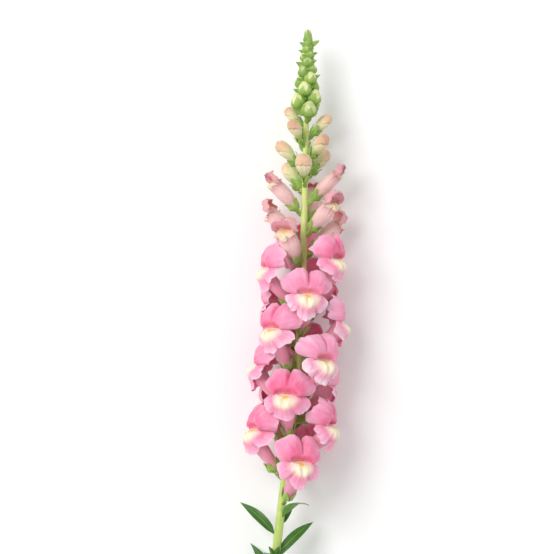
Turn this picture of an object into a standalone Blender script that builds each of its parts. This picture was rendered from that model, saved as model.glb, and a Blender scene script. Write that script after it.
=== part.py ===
"""Single cut snapdragon stem, lying on its side along the Y axis with the flower tip at +Y.

One leafy stem with its calyxes, bracts, green buds and leaves, and one closed shell per flower.
Lengths below are millimetres, angles degrees; the objects are written in metres.
"""
import bpy
import bmesh
import numpy as np

MM = 0.001
DEG = np.pi / 180.0

# Whole stem
STEM_LENGTH = 600.0
CUT_Y = -STEM_LENGTH / 2.0      # cut end, on the surface
CUT_RADIUS = 3.7
SPIKE_HEIGHT = 31.5             # stem axis above the surface where the spike lies on its petals
RISE_END_Y = -25.0              # where the stem has reached that height
UPPER_LEAN, LEAN = 0.02, 0.05   # sideways lean of the stem, tangent of the angle
BEND_LOW_Y, BEND_HIGH_Y = -190.0, 85.0
BEND_LOW, BEND_HIGH = 60.0, 45.0
CENTRE_X = 8.506                  # shift that centres the finished stem on its frame
CENTRE_Y = -0.454

# Flowers up the spike, counted from the lowest
GOLDEN = 137.5                  # turn from one flower to the next
FIRST_TURN = 20.0               # direction of the lowest flower, from straight up
SPIKE_START_Y = -26.0
OPEN_COUNT, OPEN_RISE = 18, 8.9
HALF_COUNT, HALF_RISE = 7, 7.4
STAGE_GAP = 3.6                 # more room between the last open flower and the first half-open one
PALE_COUNT, PALE_RISE = 9, 5.4
GREEN_COUNT = 25
GREEN_RISE_LOW, GREEN_RISE_HIGH = 3.0, 1.36
SEAT_GAP = 0.35                 # clearance between a flower and the calyx that holds it
WAVE_SEED = 300                  # starts the draw of every flower's ruffles
PRESS_DEPTH = 1.3               # how far the lowest petals are pressed flat
BARE_TURN, BARE_LOW_Y = 38.0, 142.0   # upper flowers leave the top of the stem bare

# Leaves and axil shoots
LEAF_COUNT, LEAF_START_Y, LEAF_END_Y = 19, -262.0, -42.0
SHOOT_COUNT, SHOOT_LEAVES, SHOOT_START_Y, SHOOT_END_Y, SHOOT_TURN = 5, 4, -150.0, -46.0, -40.0

# Petal lobes round the mouth, degrees from the side next to the stem's tip
LIP_KNOTS = (0, 23, 46, 69, 92, 107, 122, 137, 152, 166, 180)
SHEET = 1.0                     # petal thickness

OPEN = dict(upper=20.5, upper_notch=13.0, sinus=10.0, side=17.8, low_notch=14.0, middle=19.5,
            mouth_x=6.0, mouth_y=0.5, mouth_up=27.0, palate=8.8, wave=1.0, reflex=1.0, skirt=-2.5,
            hood=0.0, fat=0.0, end=1.0, sheet=SHEET)
HALF = dict(upper=14.0, upper_notch=11.0, sinus=9.0, side=11.5, low_notch=9.5, middle=11.5,
            mouth_x=6.0, mouth_y=0.5, mouth_up=24.0, palate=6.0, wave=0.8, reflex=0.9, skirt=-1.5,
            hood=4.0, fat=1.7, end=0.86, sheet=SHEET)
PALE_FAT = 1.0                  # extra girth of the calyx round a shut flower


def smooth(x, a, b):
    """Smooth step from 0 at a to 1 at b."""
    t = np.clip((x - a) / (b - a), 0.0, 1.0)
    return t * t * (3.0 - 2.0 * t)


def lip_columns(parts):
    """Angles round the mouth, each span between two knots cut into equal parts."""
    knots = np.array(LIP_KNOTS, float)
    half = np.concatenate([np.linspace(knots[i], knots[i + 1], parts, endpoint=False)
                           for i in range(len(knots) - 1)] + [[180.0]])
    return np.concatenate([half, 360.0 - half[1:-1][::-1]]) * DEG


def fold(phi):
    """Angle from the stem-tip side, 0 to 180 on either side."""
    return np.abs((phi / DEG + 180.0) % 360.0 - 180.0)


def lobe(a, centre, half, tip, start, end):
    """Reach of one rounded lobe between its two notches."""
    u = np.clip((a - centre) / half, -1.0, 1.0)
    base = start + (end - start) * (u + 1.0) / 2.0
    return base + (tip - base) * (1.0 - np.abs(u) ** 2.6) ** 0.55


def rim(phi, f):
    """Reach of the five lobes round the mouth."""
    a = fold(phi)
    up = lobe(a, 46.0, 46.0, f['upper'], f['upper_notch'], f['sinus'])
    side = lobe(a, 122.0, 30.0, f['side'], f['sinus'], f['low_notch'])
    mid = lobe(a, 180.0, 28.0, f['middle'], f['low_notch'], f['low_notch'])
    return np.where(a < 92.0, up, np.where(a < 152.0, side, mid))


def face(phi, rho, f, seed):
    """Outer face of the lips: rho 0 at the closed mouth, 1 at the free edge."""
    reach, a = rim(phi, f), fold(phi)
    x = (f['mouth_x'] * (1.0 - rho) + reach * rho) * np.sin(phi)
    y = f['mouth_up'] + (f['mouth_y'] * (1.0 - rho) + reach * rho) * np.cos(phi)
    centred = np.clip(1.0 - ((a - 46.0) / 46.0) ** 2, 0.0, 1.0)
    upper = (17.5 + 5.5 * smooth(rho, 0.0, 0.28) + 2.6 * centred * rho + f['hood'] * smooth(rho, 0.1, 0.7)
             - f['reflex'] * (5.5 * np.clip((rho - 0.3) / 0.7, 0.0, 1.0) ** 1.6
                              + 5.0 * (np.abs(x) / 15.0) ** 2 * rho + 2.2 * rho ** 6))
    away = np.sqrt((x / 10.0) ** 2 + ((y - f['mouth_up'] + 6.0) / 6.8) ** 2)
    furrow = 1.0 - 0.20 * np.exp(-(x / 1.7) ** 2) * smooth(y, f['mouth_up'] - 14.0, f['mouth_up'] - 4.0)
    bulge = np.clip(np.where(a < 152.0, 1.0 - ((a - 122.0) / 30.0) ** 2,
                             1.0 - ((a - 180.0) / 28.0) ** 2), 0.0, 1.0)
    lower = (17.0 + 0.30 * (26.0 - y) + f['palate'] * furrow / (1.0 + (away / 0.95) ** 3.2)
             - 0.016 * np.clip(x * x - 80.0, 0.0, None) + 1.8 * bulge * rho ** 2 + f['skirt'] * rho ** 3)
    w = smooth(a, 86.0, 99.0)
    z = upper * (1.0 - w) + lower * w
    k = np.random.default_rng(seed).uniform(0.0, 2.0 * np.pi, 6)
    edge = f['wave'] * rho ** 3
    z = z + edge * (0.9 * np.sin(7 * phi + k[0]) + 0.6 * np.sin(12 * phi + k[1])
                    + 0.35 * np.sin(21 * phi + k[2]))
    x = x + edge * 0.5 * np.sin(9 * phi + k[3])
    y = y + edge * 0.5 * np.sin(8 * phi + k[4])
    return np.stack([x, y, z], -1)


def face_normal(phi, rho, f, seed):
    """Unit normal of the lips' outer face, pointing away from the stem."""
    e = 0.001
    across = face(phi + e, rho, f, seed) - face(phi - e, rho, f, seed)
    along = face(phi, np.minimum(rho + e, 1.0), f, seed) - face(phi, rho - e, f, seed)
    n = np.cross(along, across)
    n /= np.linalg.norm(n, axis=-1, keepdims=True) + 1e-12
    return n * np.sign(n[..., 2:3] + 1e-9)


def join_at(phi):
    """Where the tube runs into the back of the lips, as rho."""
    return np.interp(fold(phi), [0, 60, 92, 122, 152, 180], [0.34, 0.36, 0.5, 0.58, 0.68, 0.72])


def flower_rings(f, seed):
    """Closed shell of one flower: tube, back of the lips, free edge, face down to the shut mouth."""
    phi = lip_columns(1)
    rings = [tube(phi, s, fat=f['fat']) for s in (0.0, 0.3, f['end'])]
    for g in (0.0, 1.0):
        r = join_at(phi) * (1.0 - g) + g
        rings.append(face(phi, r, f, seed) - f['sheet'] * face_normal(phi, r, f, seed))
    rings += [face(phi, r, f, seed) for r in (np.ones_like(phi), join_at(phi), 0.4 * join_at(phi))]
    return rings


def tube_line(s):
    """Centre line of a flower's tube as (up the stem, outward), with its direction."""
    bend = np.array([[0.0, 0.0], [7.0, 6.5], [16.2, 16.0]])
    one, two = (1.0 - s)[..., None], s[..., None]
    c = one ** 2 * bend[0] + 2.0 * one * two * bend[1] + two ** 2 * bend[2]
    t = 2.0 * one * (bend[1] - bend[0]) + 2.0 * two * (bend[2] - bend[1])
    return c, t / np.linalg.norm(t, axis=-1, keepdims=True)


def tube(phi, s, grow=0.0, back=0.0, fat=0.0):
    """Flower tube from its base (s 0) to the lips (s 1), with the small sac low on the outer side."""
    s = s + 0.0 * phi
    c, t = tube_line(s)
    grow = grow + fat * smooth(s, 0.2, 0.62)
    n = np.stack([t[..., 1], -t[..., 0]], -1)
    c = c - back * t
    wide = np.interp(s, [0, 0.12, 0.3, 0.6, 1], [2.4, 3.5, 3.9, 5.1, 7.0]) + grow
    deep = np.interp(s, [0, 0.12, 0.3, 0.6, 1], [2.4, 3.5, 3.8, 4.4, 5.2]) + grow
    sac = 1.3 * np.exp(-((s - 0.14) / 0.11) ** 2)
    u = deep * np.cos(phi) - sac * np.clip(-np.cos(phi), 0.0, 1.0)
    return np.stack([wide * np.sin(phi), c[..., 0] + u * n[..., 0], c[..., 1] + u * n[..., 1]], -1)


def shut_flower(phi, s):
    """Shut flower along the same line as the tube, its upper lip folded over the lower one."""
    c, t = tube_line(s)
    n = np.stack([t[..., 1], -t[..., 0]], -1)
    r = np.interp(s, [0, 0.06, 0.16, 0.35, 0.6, 0.8, 0.92, 1], [0, 1.7, 3.0, 4.1, 6.9, 6.8, 4.6, 0])
    r = r * (1.0 - 0.12 * np.exp(-((fold(phi) - 100.0) / 14.0) ** 2) * smooth(s, 0.35, 0.6))
    u = 0.92 * r * np.cos(phi)
    return np.stack([r * np.sin(phi), c[..., 0] + u * n[..., 0], c[..., 1] + u * n[..., 1]], -1)


def green_bud(phi, s):
    """Egg-shaped bud shut in its sepals, leaning out from the stem."""
    length, radius = 14.0, 4.9
    up, out = 0.46 * length * s + 0.20 * length * s * s, 0.78 * length * s - 0.22 * length * s * s
    r = radius * np.interp(s, [0, 0.1, 0.25, 0.45, 0.65, 0.85, 0.95, 1],
                           [0, 0.35, 0.66, 1.0, 0.95, 0.58, 0.28, 0])
    lean = 0.75
    return np.stack([r * np.sin(phi), up + r * np.cos(phi) * np.sin(lean),
                     out - r * np.cos(phi) * np.cos(lean)], -1)


def calyx_rings(radius, fat):
    """Short stalk rooted in the stem, widening into a cup of five pointed sepals."""
    phi = np.arange(10) * 36.0 * DEG
    tip = (np.arange(10) % 2 == 0)
    foot = tube(phi, 0.0, -1.6, 1.7) * [1.0, 0.75, 1.0] + [0.0, -3.6, 1.3 - radius]
    return [foot, tube(phi, 0.01, 0.95),
            tube(phi, np.where(tip, 0.40, 0.12), np.where(tip, SEAT_GAP + 0.8, SEAT_GAP + 0.5), fat=fat),
            tube(phi, 0.0, SEAT_GAP - 0.1, SEAT_GAP)]


def leaf_outline(s):
    """Half width of a leaf along its length, as a share of the widest: stalk, blade, drawn-out tip."""
    return np.maximum(np.sin(np.pi * np.clip(s, 0.0, 1.0) ** 0.85) ** 0.85, 0.17 * (1.0 - s) + 0.03)


def leaf_point(u, s, length, width, arch):
    """Middle surface of a leaf: u across from -1 to 1, s along from 0 to 1."""
    half = 0.5 * width * leaf_outline(s)
    x = half * u
    y = length * s
    z = arch * length * (0.8 * s - 1.6 * s ** 2) + 0.16 * half * u * u
    return np.stack([x, y, z], -1)


def leaf_rings(length, width, arch, stations, thick=1.0):
    """Closed leaf, thickest along its midrib."""
    rings = []
    for s in stations:
        p = leaf_point(np.array([-1.0, 0.0, 1.0, 0.0]), np.full(4, s), length, width, arch)
        p[:, 2] += np.array([0.0, -0.5, 0.0, 0.5]) * thick * (1.15 - 0.5 * s)
        rings.append(p)
    return rings


def stem_x(y):
    """Sideways drift of the stem: a gentle lean that fades towards the cut end and the tip."""
    def ramp(v, width):
        return width * np.log(np.cosh(v / width))
    return UPPER_LEAN * y + LEAN * (ramp(y - BEND_LOW_Y, BEND_LOW) - ramp(y - BEND_HIGH_Y, BEND_HIGH))


def stem_z(y):
    """Height of the stem axis: on the surface at the cut end, held up by its petals in the spike."""
    return CUT_RADIUS + (SPIKE_HEIGHT - CUT_RADIUS) * smooth(y, CUT_Y, RISE_END_Y)


def stem_radius(y):
    """Stem radius, thinning to the tip."""
    return np.interp(y, [-300, -30, 146, 240, 296], [CUT_RADIUS, 3.0, 2.5, 1.8, 1.0])


def axis_point(y):
    return np.array([stem_x(y), y, stem_z(y)])


def frame_at(y, turn):
    """Stem point and the side, up-stem and outward directions for a turn round the stem."""
    t = axis_point(y + 0.5) - axis_point(y - 0.5)
    t /= np.linalg.norm(t)
    a = np.array([0.0, 0.0, 1.0]) - t[2] * t
    a /= np.linalg.norm(a)
    out = a * np.cos(turn * DEG) + np.cross(t, a) * np.sin(turn * DEG)
    return axis_point(y), np.cross(t, out), t, out


def press(p):
    """Flatten whatever would reach below the surface, softly, keeping order and thickness."""
    z = p[..., 2]
    top, deep = 3.0, 2.4
    low = top * np.clip((z + deep) / (top + deep), 0.0, 1.0) ** ((top + deep) / top)
    out = p.copy()
    out[..., 2] = np.where(z < top, low, z)
    return out


def set_out(points, y, turn, radius, scale=1.0, tilt=0.0):
    """Carry points from a flower's own frame (side, up the stem, outward) to the stem."""
    c, side, up, out = frame_at(y, turn)
    ct, st = np.cos(tilt * DEG), np.sin(tilt * DEG)
    q = points * scale
    v = q[..., 1] * ct + q[..., 2] * st
    w = -q[..., 1] * st + q[..., 2] * ct
    return press(c + q[..., :1] * side + v[..., None] * up + (radius + w)[..., None] * out)


def set_leaf(points, y, turn, lift, reach):
    """Carry a leaf to the stem; low ones swing sideways and lie along the surface."""
    base = axis_point(y)
    down = max(np.cos(turn * DEG), -(base[2] - 2.5) / reach)
    turn = np.arccos(down) / DEG * (1.0 if turn > 0.0 else -1.0)
    c, side, up, out = frame_at(y, turn)
    along = np.cos(lift * DEG) * up + np.sin(lift * DEG) * out
    flat = np.cross(along, [0.0, 0.0, 1.0])
    flat /= np.linalg.norm(flat)
    if np.dot(flat, -side) < 0.0:
        flat = -flat
    lie = 0.75 * np.sin(turn * DEG) ** 2
    across = (1.0 - lie) * -side + lie * flat
    across -= np.dot(across, along) * along
    across /= np.linalg.norm(across)
    face_up = np.cross(across, along)
    start = c + out * stem_radius(y) * 0.45
    p = start + points[..., :1] * across + points[..., 1:2] * along + points[..., 2:3] * face_up
    p[..., 2] += np.maximum(0.0, 0.05 - p[..., 2].min(-1, keepdims=True))
    return p


def shut_angle(turn):
    """Signed angle within 180 either side of straight up."""
    return (turn + 180.0) % 360.0 - 180.0


def bud_tilt(y):
    """Lean of a green bud towards the stem: the buds close in on the axis as they near the tip."""
    return 40.0 * smooth(y, 225.0, 292.0)


def spike():
    """Place of every flower: kind, position up the stem, turn, distance from the axis, scale."""
    rows, y = [], SPIKE_START_Y
    for k in range(OPEN_COUNT + HALF_COUNT + PALE_COUNT + GREEN_COUNT):
        turn = shut_angle(FIRST_TURN + GOLDEN * k)
        if k < OPEN_COUNT:
            kind, rise, radius, scale = 'open', OPEN_RISE, 7.0, 1.0 - 0.015 * max(0, k - 11)
        elif k < OPEN_COUNT + HALF_COUNT:
            i = k - OPEN_COUNT
            kind, rise, radius, scale = 'half', HALF_RISE, 6.3 - 0.12 * i, 0.90 - 0.020 * i
        elif k < OPEN_COUNT + HALF_COUNT + PALE_COUNT:
            i = k - OPEN_COUNT - HALF_COUNT
            kind, rise, radius, scale = 'pale', PALE_RISE, 5.6 - 0.18 * i, 0.92 - 0.030 * i
        else:
            i = (k - OPEN_COUNT - HALF_COUNT - PALE_COUNT) / (GREEN_COUNT - 1.0)
            kind, scale = 'green', 0.80 if i == 1.0 else 1.14 - 0.64 * i
            rise = GREEN_RISE_LOW + (GREEN_RISE_HIGH - GREEN_RISE_LOW) * i
            radius = 0.2 + 1.6 * (1.0 - i) ** 2
        if kind in ('open', 'half'):
            # bare stretch of stem seen between the upper flowers
            bare = BARE_TURN * smooth(y, BARE_LOW_Y - 12.0, BARE_LOW_Y + 12.0)
            turn = np.sign(turn) * (abs(turn) + bare * max(0.0, 1.0 - abs(turn) / 90.0))
            down = -np.cos(turn * DEG)
            if down > 0.5:
                room = (stem_z(y) + PRESS_DEPTH) / down - radius
                scale = min(scale, max(room / 27.0, 0.86))
        rows.append((kind, y, turn, radius, scale, k))
        y += rise + (STAGE_GAP if k == OPEN_COUNT - 1 else 0.0)
    return rows


def leaves():
    """Leaves up the bare stem: position, turn, lift from the stem, length, width, arch."""
    draw = np.random.default_rng(7)
    rows = []
    for k in range(LEAF_COUNT):
        i = k / (LEAF_COUNT - 1.0)
        y = LEAF_START_Y + (LEAF_END_Y - LEAF_START_Y) * i + draw.uniform(-2.0, 2.0)
        turn = shut_angle(75.0 + GOLDEN * k + draw.uniform(-12.0, 12.0))
        rows.append((y, turn, 44.0 + draw.uniform(-7.0, 9.0), 58.0 - 22.0 * i + draw.uniform(-4.0, 4.0),
                     9.5 - 2.4 * i + draw.uniform(-0.6, 0.6), 0.30 + draw.uniform(-0.08, 0.10)))
    return rows


def shoots():
    """Small leafy shoots in the axils under the spike: leaflets of each, in the same terms."""
    draw = np.random.default_rng(23)
    rows = []
    for k in range(SHOOT_COUNT):
        y = SHOOT_START_Y + (SHOOT_END_Y - SHOOT_START_Y) * k / (SHOOT_COUNT - 1.0)
        turn = shut_angle(SHOOT_TURN + GOLDEN * k)
        for j in range(SHOOT_LEAVES):
            side = (j - (SHOOT_LEAVES - 1) / 2.0)
            rows.append((y + 1.6 * (j % 2), shut_angle(turn + 26.0 * side + draw.uniform(-8.0, 8.0)),
                         30.0 + 12.0 * (j % 3) + draw.uniform(-5.0, 5.0), 19.0 - 2.2 * abs(side)
                         + draw.uniform(-2.0, 2.0), 4.6 + draw.uniform(-0.4, 0.4), 0.22))
    return rows


def ring_mesh(name, rings, turn_row=None):
    """Closed mesh from a run of rings, capped at both ends.

    The two walls of a thin sheet are split along the same diagonals: the second wall is the rings from
    turn_row on or, in a leaf, the second half of every ring.
    """
    n, faces = len(rings[0]), []
    for i in range(len(rings) - 1):
        for j in range(n):
            a, b = i * n + j, i * n + (j + 1) % n
            c, d = b + n, a + n
            second = j >= n // 2 if turn_row is None else i >= turn_row
            faces += [(a, d, b), (d, c, b)] if second else [(a, d, c), (a, c, b)]
    last = (len(rings) - 1) * n
    faces.append(tuple(range(n)))
    faces.append(tuple(last + j for j in reversed(range(n))))
    mesh = bpy.data.meshes.new(name)
    shift = np.array([CENTRE_X, CENTRE_Y, 0.0])
    mesh.from_pydata([tuple(v) for v in (np.concatenate(rings) + shift) * MM], [], faces)
    mesh.update()
    return bpy.data.objects.new(name, mesh)


def ball_mesh(name, form, segments, bands, place):
    """Closed mesh from a sphere: its bands become stations along a bud, its segments turns round it."""
    bm = bmesh.new()
    bmesh.ops.create_uvsphere(bm, u_segments=segments, v_segments=bands, radius=1.0)
    unit = np.array([v.co[:] for v in bm.verts])
    s = np.arccos(np.clip(-unit[:, 2], -1.0, 1.0)) / np.pi
    phi = np.arctan2(unit[:, 0], unit[:, 1])
    moved = (place(form(phi, s)) + np.array([CENTRE_X, CENTRE_Y, 0.0])) * MM
    for v, co in zip(bm.verts, moved):
        v.co = co
    if bm.calc_volume(signed=True) < 0.0:
        bmesh.ops.reverse_faces(bm, faces=bm.faces[:])
    mesh = bpy.data.meshes.new(name)
    bm.to_mesh(mesh)
    bm.free()
    return bpy.data.objects.new(name, mesh)


def paint(obj, colour, rough):
    """Give an object its own plain material."""
    mat = bpy.data.materials.new(obj.name)
    mat.use_nodes = True
    shader = mat.node_tree.nodes['Principled BSDF']
    shader.inputs['Base Color'].default_value = (*colour, 1.0)
    shader.inputs['Roughness'].default_value = rough
    mat.diffuse_color = (*colour, 1.0)
    obj.data.materials.clear()
    obj.data.materials.append(mat)


def green_pieces():
    """Everything that grows from the stem: calyxes, green buds, bracts, leaves, shoots."""
    pieces = []
    for kind, y, turn, radius, scale, k in spike():
        if kind == 'green':
            pieces.append(ball_mesh('green_bud', green_bud, 6, 5,
                                    lambda p: set_out(p, y, turn, radius, scale, bud_tilt(y))))
            if k % 3 == 0:
                bract = leaf_rings(7.5 * scale + 2.5, 3.2 * scale + 1.0, 0.25, (0.0, 0.5, 1.0), 0.9)
                low = y - 5.0 * scale
                pieces.append(ring_mesh('bract', [set_leaf(r, low, turn, 52.0, 5.0) for r in bract]))
        else:
            own = scale * (0.97 if kind == 'pale' else 1.0)
            fat = {'open': OPEN['fat'], 'half': HALF['fat'], 'pale': PALE_FAT}[kind]
            cup = calyx_rings(radius / own, fat)
            pieces.append(ring_mesh('calyx', [set_out(r, y, turn, radius, own) for r in cup], 2))
    for y, turn, lift, length, width, arch in leaves():
        blade = leaf_rings(length, width, arch, (0.0, 0.25, 0.5, 0.76, 1.0))
        pieces.append(ring_mesh('leaf', [set_leaf(r, y, turn, lift, 0.75 * length) for r in blade]))
    for y, turn, lift, length, width, arch in shoots():
        blade = leaf_rings(length, width, arch, (0.0, 0.33, 0.67, 1.0), 0.9)
        pieces.append(ring_mesh('leaflet', [set_leaf(r, y, turn, lift, 0.75 * length) for r in blade]))
    return pieces


def bare_stem():
    """Stem as a tapering bent rod."""
    ys = np.concatenate([np.linspace(CUT_Y, RISE_END_Y, 14), np.linspace(RISE_END_Y + 20.0, 293.0, 17)])
    curve = bpy.data.curves.new('stem_line', 'CURVE')
    curve.dimensions = '3D'
    curve.bevel_depth = MM
    curve.bevel_resolution = 2
    curve.use_fill_caps = True
    line = curve.splines.new('POLY')
    line.points.add(len(ys) - 1)
    for point, y in zip(line.points, ys):
        c = (axis_point(y) + np.array([CENTRE_X, CENTRE_Y, 0.0])) * MM
        point.co = (*c, 1.0)
        point.radius = stem_radius(y)
    rod = bpy.data.objects.new('stem_rod', curve)
    bpy.context.scene.collection.objects.link(rod)
    bpy.context.view_layer.update()
    shape = bpy.data.meshes.new_from_object(rod.evaluated_get(bpy.context.evaluated_depsgraph_get()))
    bm = bmesh.new()
    bm.from_mesh(shape)
    bmesh.ops.remove_doubles(bm, verts=bm.verts[:], dist=0.00001)
    bmesh.ops.recalc_face_normals(bm, faces=bm.faces[:])
    bm.to_mesh(shape)
    bm.free()
    stem = bpy.data.objects.new('leafy_stem', shape)
    stem.matrix_world = rod.matrix_world
    bpy.data.objects.remove(rod, do_unlink=True)
    return stem


def main():
    for obj in list(bpy.data.objects):
        bpy.data.objects.remove(obj, do_unlink=True)
    home = bpy.data.collections.new('snapdragon_stem')
    tools = bpy.data.collections.new('growing_parts')
    bpy.context.scene.collection.children.link(home)
    bpy.context.scene.collection.children.link(tools)

    stem = bare_stem()
    home.objects.link(stem)
    for piece in green_pieces():
        piece.hide_render = True
        piece.display_type = 'WIRE'
        tools.objects.link(piece)
    join = stem.modifiers.new('grown_together', 'BOOLEAN')
    join.operation = 'UNION'
    join.solver = 'MANIFOLD'
    join.operand_type = 'COLLECTION'
    join.collection = tools
    bpy.context.view_layer.objects.active = stem
    stem.select_set(True)
    bpy.ops.object.modifier_apply(modifier='grown_together')
    for obj in list(tools.objects):
        bpy.data.objects.remove(obj, do_unlink=True)
    bpy.data.collections.remove(tools)
    paint(stem, (0.22, 0.40, 0.06), 0.5)

    for kind, y, turn, radius, scale, k in spike():
        if kind == 'open':
            rings = flower_rings(OPEN, k + WAVE_SEED)
            obj = ring_mesh('open_floret_%02d' % (k + 1),
                            [set_out(r, y, turn, radius, scale) for r in rings], 4)
            paint(obj, (0.90, 0.27, 0.46), 0.45)
        elif kind == 'half':
            rings = flower_rings(HALF, k + WAVE_SEED)
            obj = ring_mesh('half_open_floret_%02d' % (k + 1),
                            [set_out(r, y, turn, radius, scale) for r in rings], 4)
            paint(obj, (0.68, 0.34, 0.33), 0.45)
        elif kind == 'pale':
            obj = ball_mesh('pale_bud_%02d' % (k + 1), shut_flower, 8, 6,
                            lambda p: set_out(p, y, turn, radius, scale))
            paint(obj, (0.80, 0.62, 0.36), 0.45)
        else:
            continue
        home.objects.link(obj)


main()
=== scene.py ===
"""Dress a single cut snapdragon stem, lying on its side, with its fine petals, buds and leaves.

The stem runs along +Y from its cut end to the flower tip, and rests on its lowest petals.
Shapes are worked out in millimetres and put into the meshes in metres.
"""

import logging
from dataclasses import dataclass, field, replace
from enum import Enum, IntEnum
from typing import Dict, List, Sequence, Tuple

import bpy
import numpy as np
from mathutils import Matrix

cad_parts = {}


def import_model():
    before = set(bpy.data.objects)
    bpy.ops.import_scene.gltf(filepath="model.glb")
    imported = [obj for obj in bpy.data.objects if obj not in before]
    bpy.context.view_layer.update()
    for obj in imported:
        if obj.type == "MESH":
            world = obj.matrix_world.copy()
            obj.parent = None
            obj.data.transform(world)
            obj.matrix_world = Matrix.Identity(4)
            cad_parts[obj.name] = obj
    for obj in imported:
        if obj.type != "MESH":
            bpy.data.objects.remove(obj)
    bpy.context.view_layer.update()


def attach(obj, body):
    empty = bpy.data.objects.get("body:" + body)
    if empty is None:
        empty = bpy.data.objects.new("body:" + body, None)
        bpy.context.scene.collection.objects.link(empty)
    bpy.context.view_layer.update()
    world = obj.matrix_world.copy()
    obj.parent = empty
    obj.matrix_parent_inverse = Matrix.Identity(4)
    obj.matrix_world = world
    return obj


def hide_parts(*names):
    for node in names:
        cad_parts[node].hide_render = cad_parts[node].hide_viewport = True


LOG = logging.getLogger("snapdragon")
MM = 0.001  # metres in a millimetre
DEG = np.pi / 180.0  # radians in a degree
TURN = 2.0 * np.pi  # radians in a full turn
GOLDEN = 137.5  # degrees round the stem from each leaf or flower to the next
SEAT_GAP = 0.35  # room between a flower's tube and its calyx, mm
TIP_HEIGHT = 30.0  # height of the flower tip, mm
SHIFT = np.array([8.506, -0.454, 0.0])  # from the stem's own middle to the part's frame, mm
Array = np.ndarray
Colour = Tuple[float, float, float]
Socket = bpy.types.NodeSocket


class Stage(Enum):
    """How far a flower of the spike has opened."""

    OPEN = "open"
    HALF = "half"
    PALE = "pale"
    GREEN = "green"


class Draw(IntEnum):
    """Seeds of the fixed draws; the number of the flower or leaf is added to most of them."""

    STEM = 3
    LEAVES = 7
    LEAF_MOOD = 9
    SHOOTS = 23
    CALYX_HAIRS = 41
    BUD_HAIRS = 42
    PETAL_MOOD = 77
    GREEN_MOOD = 90
    RUFFLES = 300
    SEPALS = 500
    LEAF = 600
    SHOOT = 700
    BRACT = 900
    FRILLS = 1000


def smooth(x: Array, a: float, b: float) -> Array:
    """Smooth step: zero up to a, one from b, and 3t^2 - 2t^3 between.

    Args:
        x: Values to step.
        a: Where the step starts.
        b: Where it ends.

    Returns:
        The stepped values.
    """
    t = np.clip((x - a) / (b - a), 0.0, 1.0)
    return t * t * (3.0 - 2.0 * t)


def soft(s: Array, places: Sequence[float], sizes: Sequence[float], width: float = 0.03) -> Array:
    """Profile through given sizes with its corners rounded: a bell-weighted mean of shifted copies.

    Args:
        s: Share of the length.
        places: Where the sizes are given.
        sizes: The sizes there.
        width: Spread of the bell.

    Returns:
        The rounded profile.
    """
    steps = np.linspace(-2.0, 2.0, 9)
    weights = np.exp(-0.5 * steps ** 2)
    total = sum(w * np.interp(s + width * t, places, sizes) for t, w in zip(steps, weights))
    return total / weights.sum()


def bell(x: Array, width: float) -> Array:
    """Bell curve: e to the power of minus the square of x over the width."""
    return np.exp(-(x / width) ** 2)


def close(s: Array, share: float = 0.05) -> Array:
    """Rounds a shape shut at both ends: the root of s times (1 - s) over a share, at most one."""
    return np.sqrt(np.clip(s * (1.0 - s) / share, 0.0, 1.0))


def fold(phi: Array) -> Array:
    """Angle from the side next to the stem's tip, 0 to 180 degrees on either side."""
    return np.abs((phi / DEG + 180.0) % 360.0 - 180.0)


def shut_angle(turn: float) -> float:
    """Signed angle within 180 degrees either side of straight up."""
    return (turn + 180.0) % 360.0 - 180.0


def crowded(first: float, last: float, count: int) -> Array:
    """Shares of a length, crowded towards both ends by a half wave of the cosine."""
    return 0.5 - 0.5 * np.cos(np.pi * np.linspace(first, last, count))


def round_grid(columns: int, shares: Array) -> Tuple[Array, Array]:
    """Angles of evenly spaced columns and shares of the rows, both over the whole grid."""
    return np.meshgrid(np.linspace(0.0, TURN, columns, endpoint=False), shares)


def across_sepal(phi: Array) -> Array:
    """Place across the nearest of five sepals, 0 at its middle and 1 at its sides."""
    return np.abs(((phi / DEG + 36.0) % 72.0) - 36.0) / 36.0


def phases(seed: int, count: int) -> Array:
    """Fixed draw of angles, the starts of the sine waves."""
    return np.random.default_rng(seed).uniform(0.0, TURN, count)


def mood_of(seed: int) -> float:
    """Fixed draw between 0 and 1 that gives each flower or leaf a tone of its own."""
    return np.random.default_rng(seed).uniform(0.0, 1.0)


def hexed(code: str) -> Colour:
    """Linear colour of a display hex code.

    Args:
        code: Six hex digits.

    Returns:
        Red, green and blue, linear.
    """
    out = []
    for i in (0, 2, 4):
        v = int(code[i:i + 2], 16) / 255.0
        out.append(v / 12.92 if v <= 0.04045 else ((v + 0.055) / 1.055) ** 2.4)
    return (out[0], out[1], out[2])


# Meshes

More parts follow.
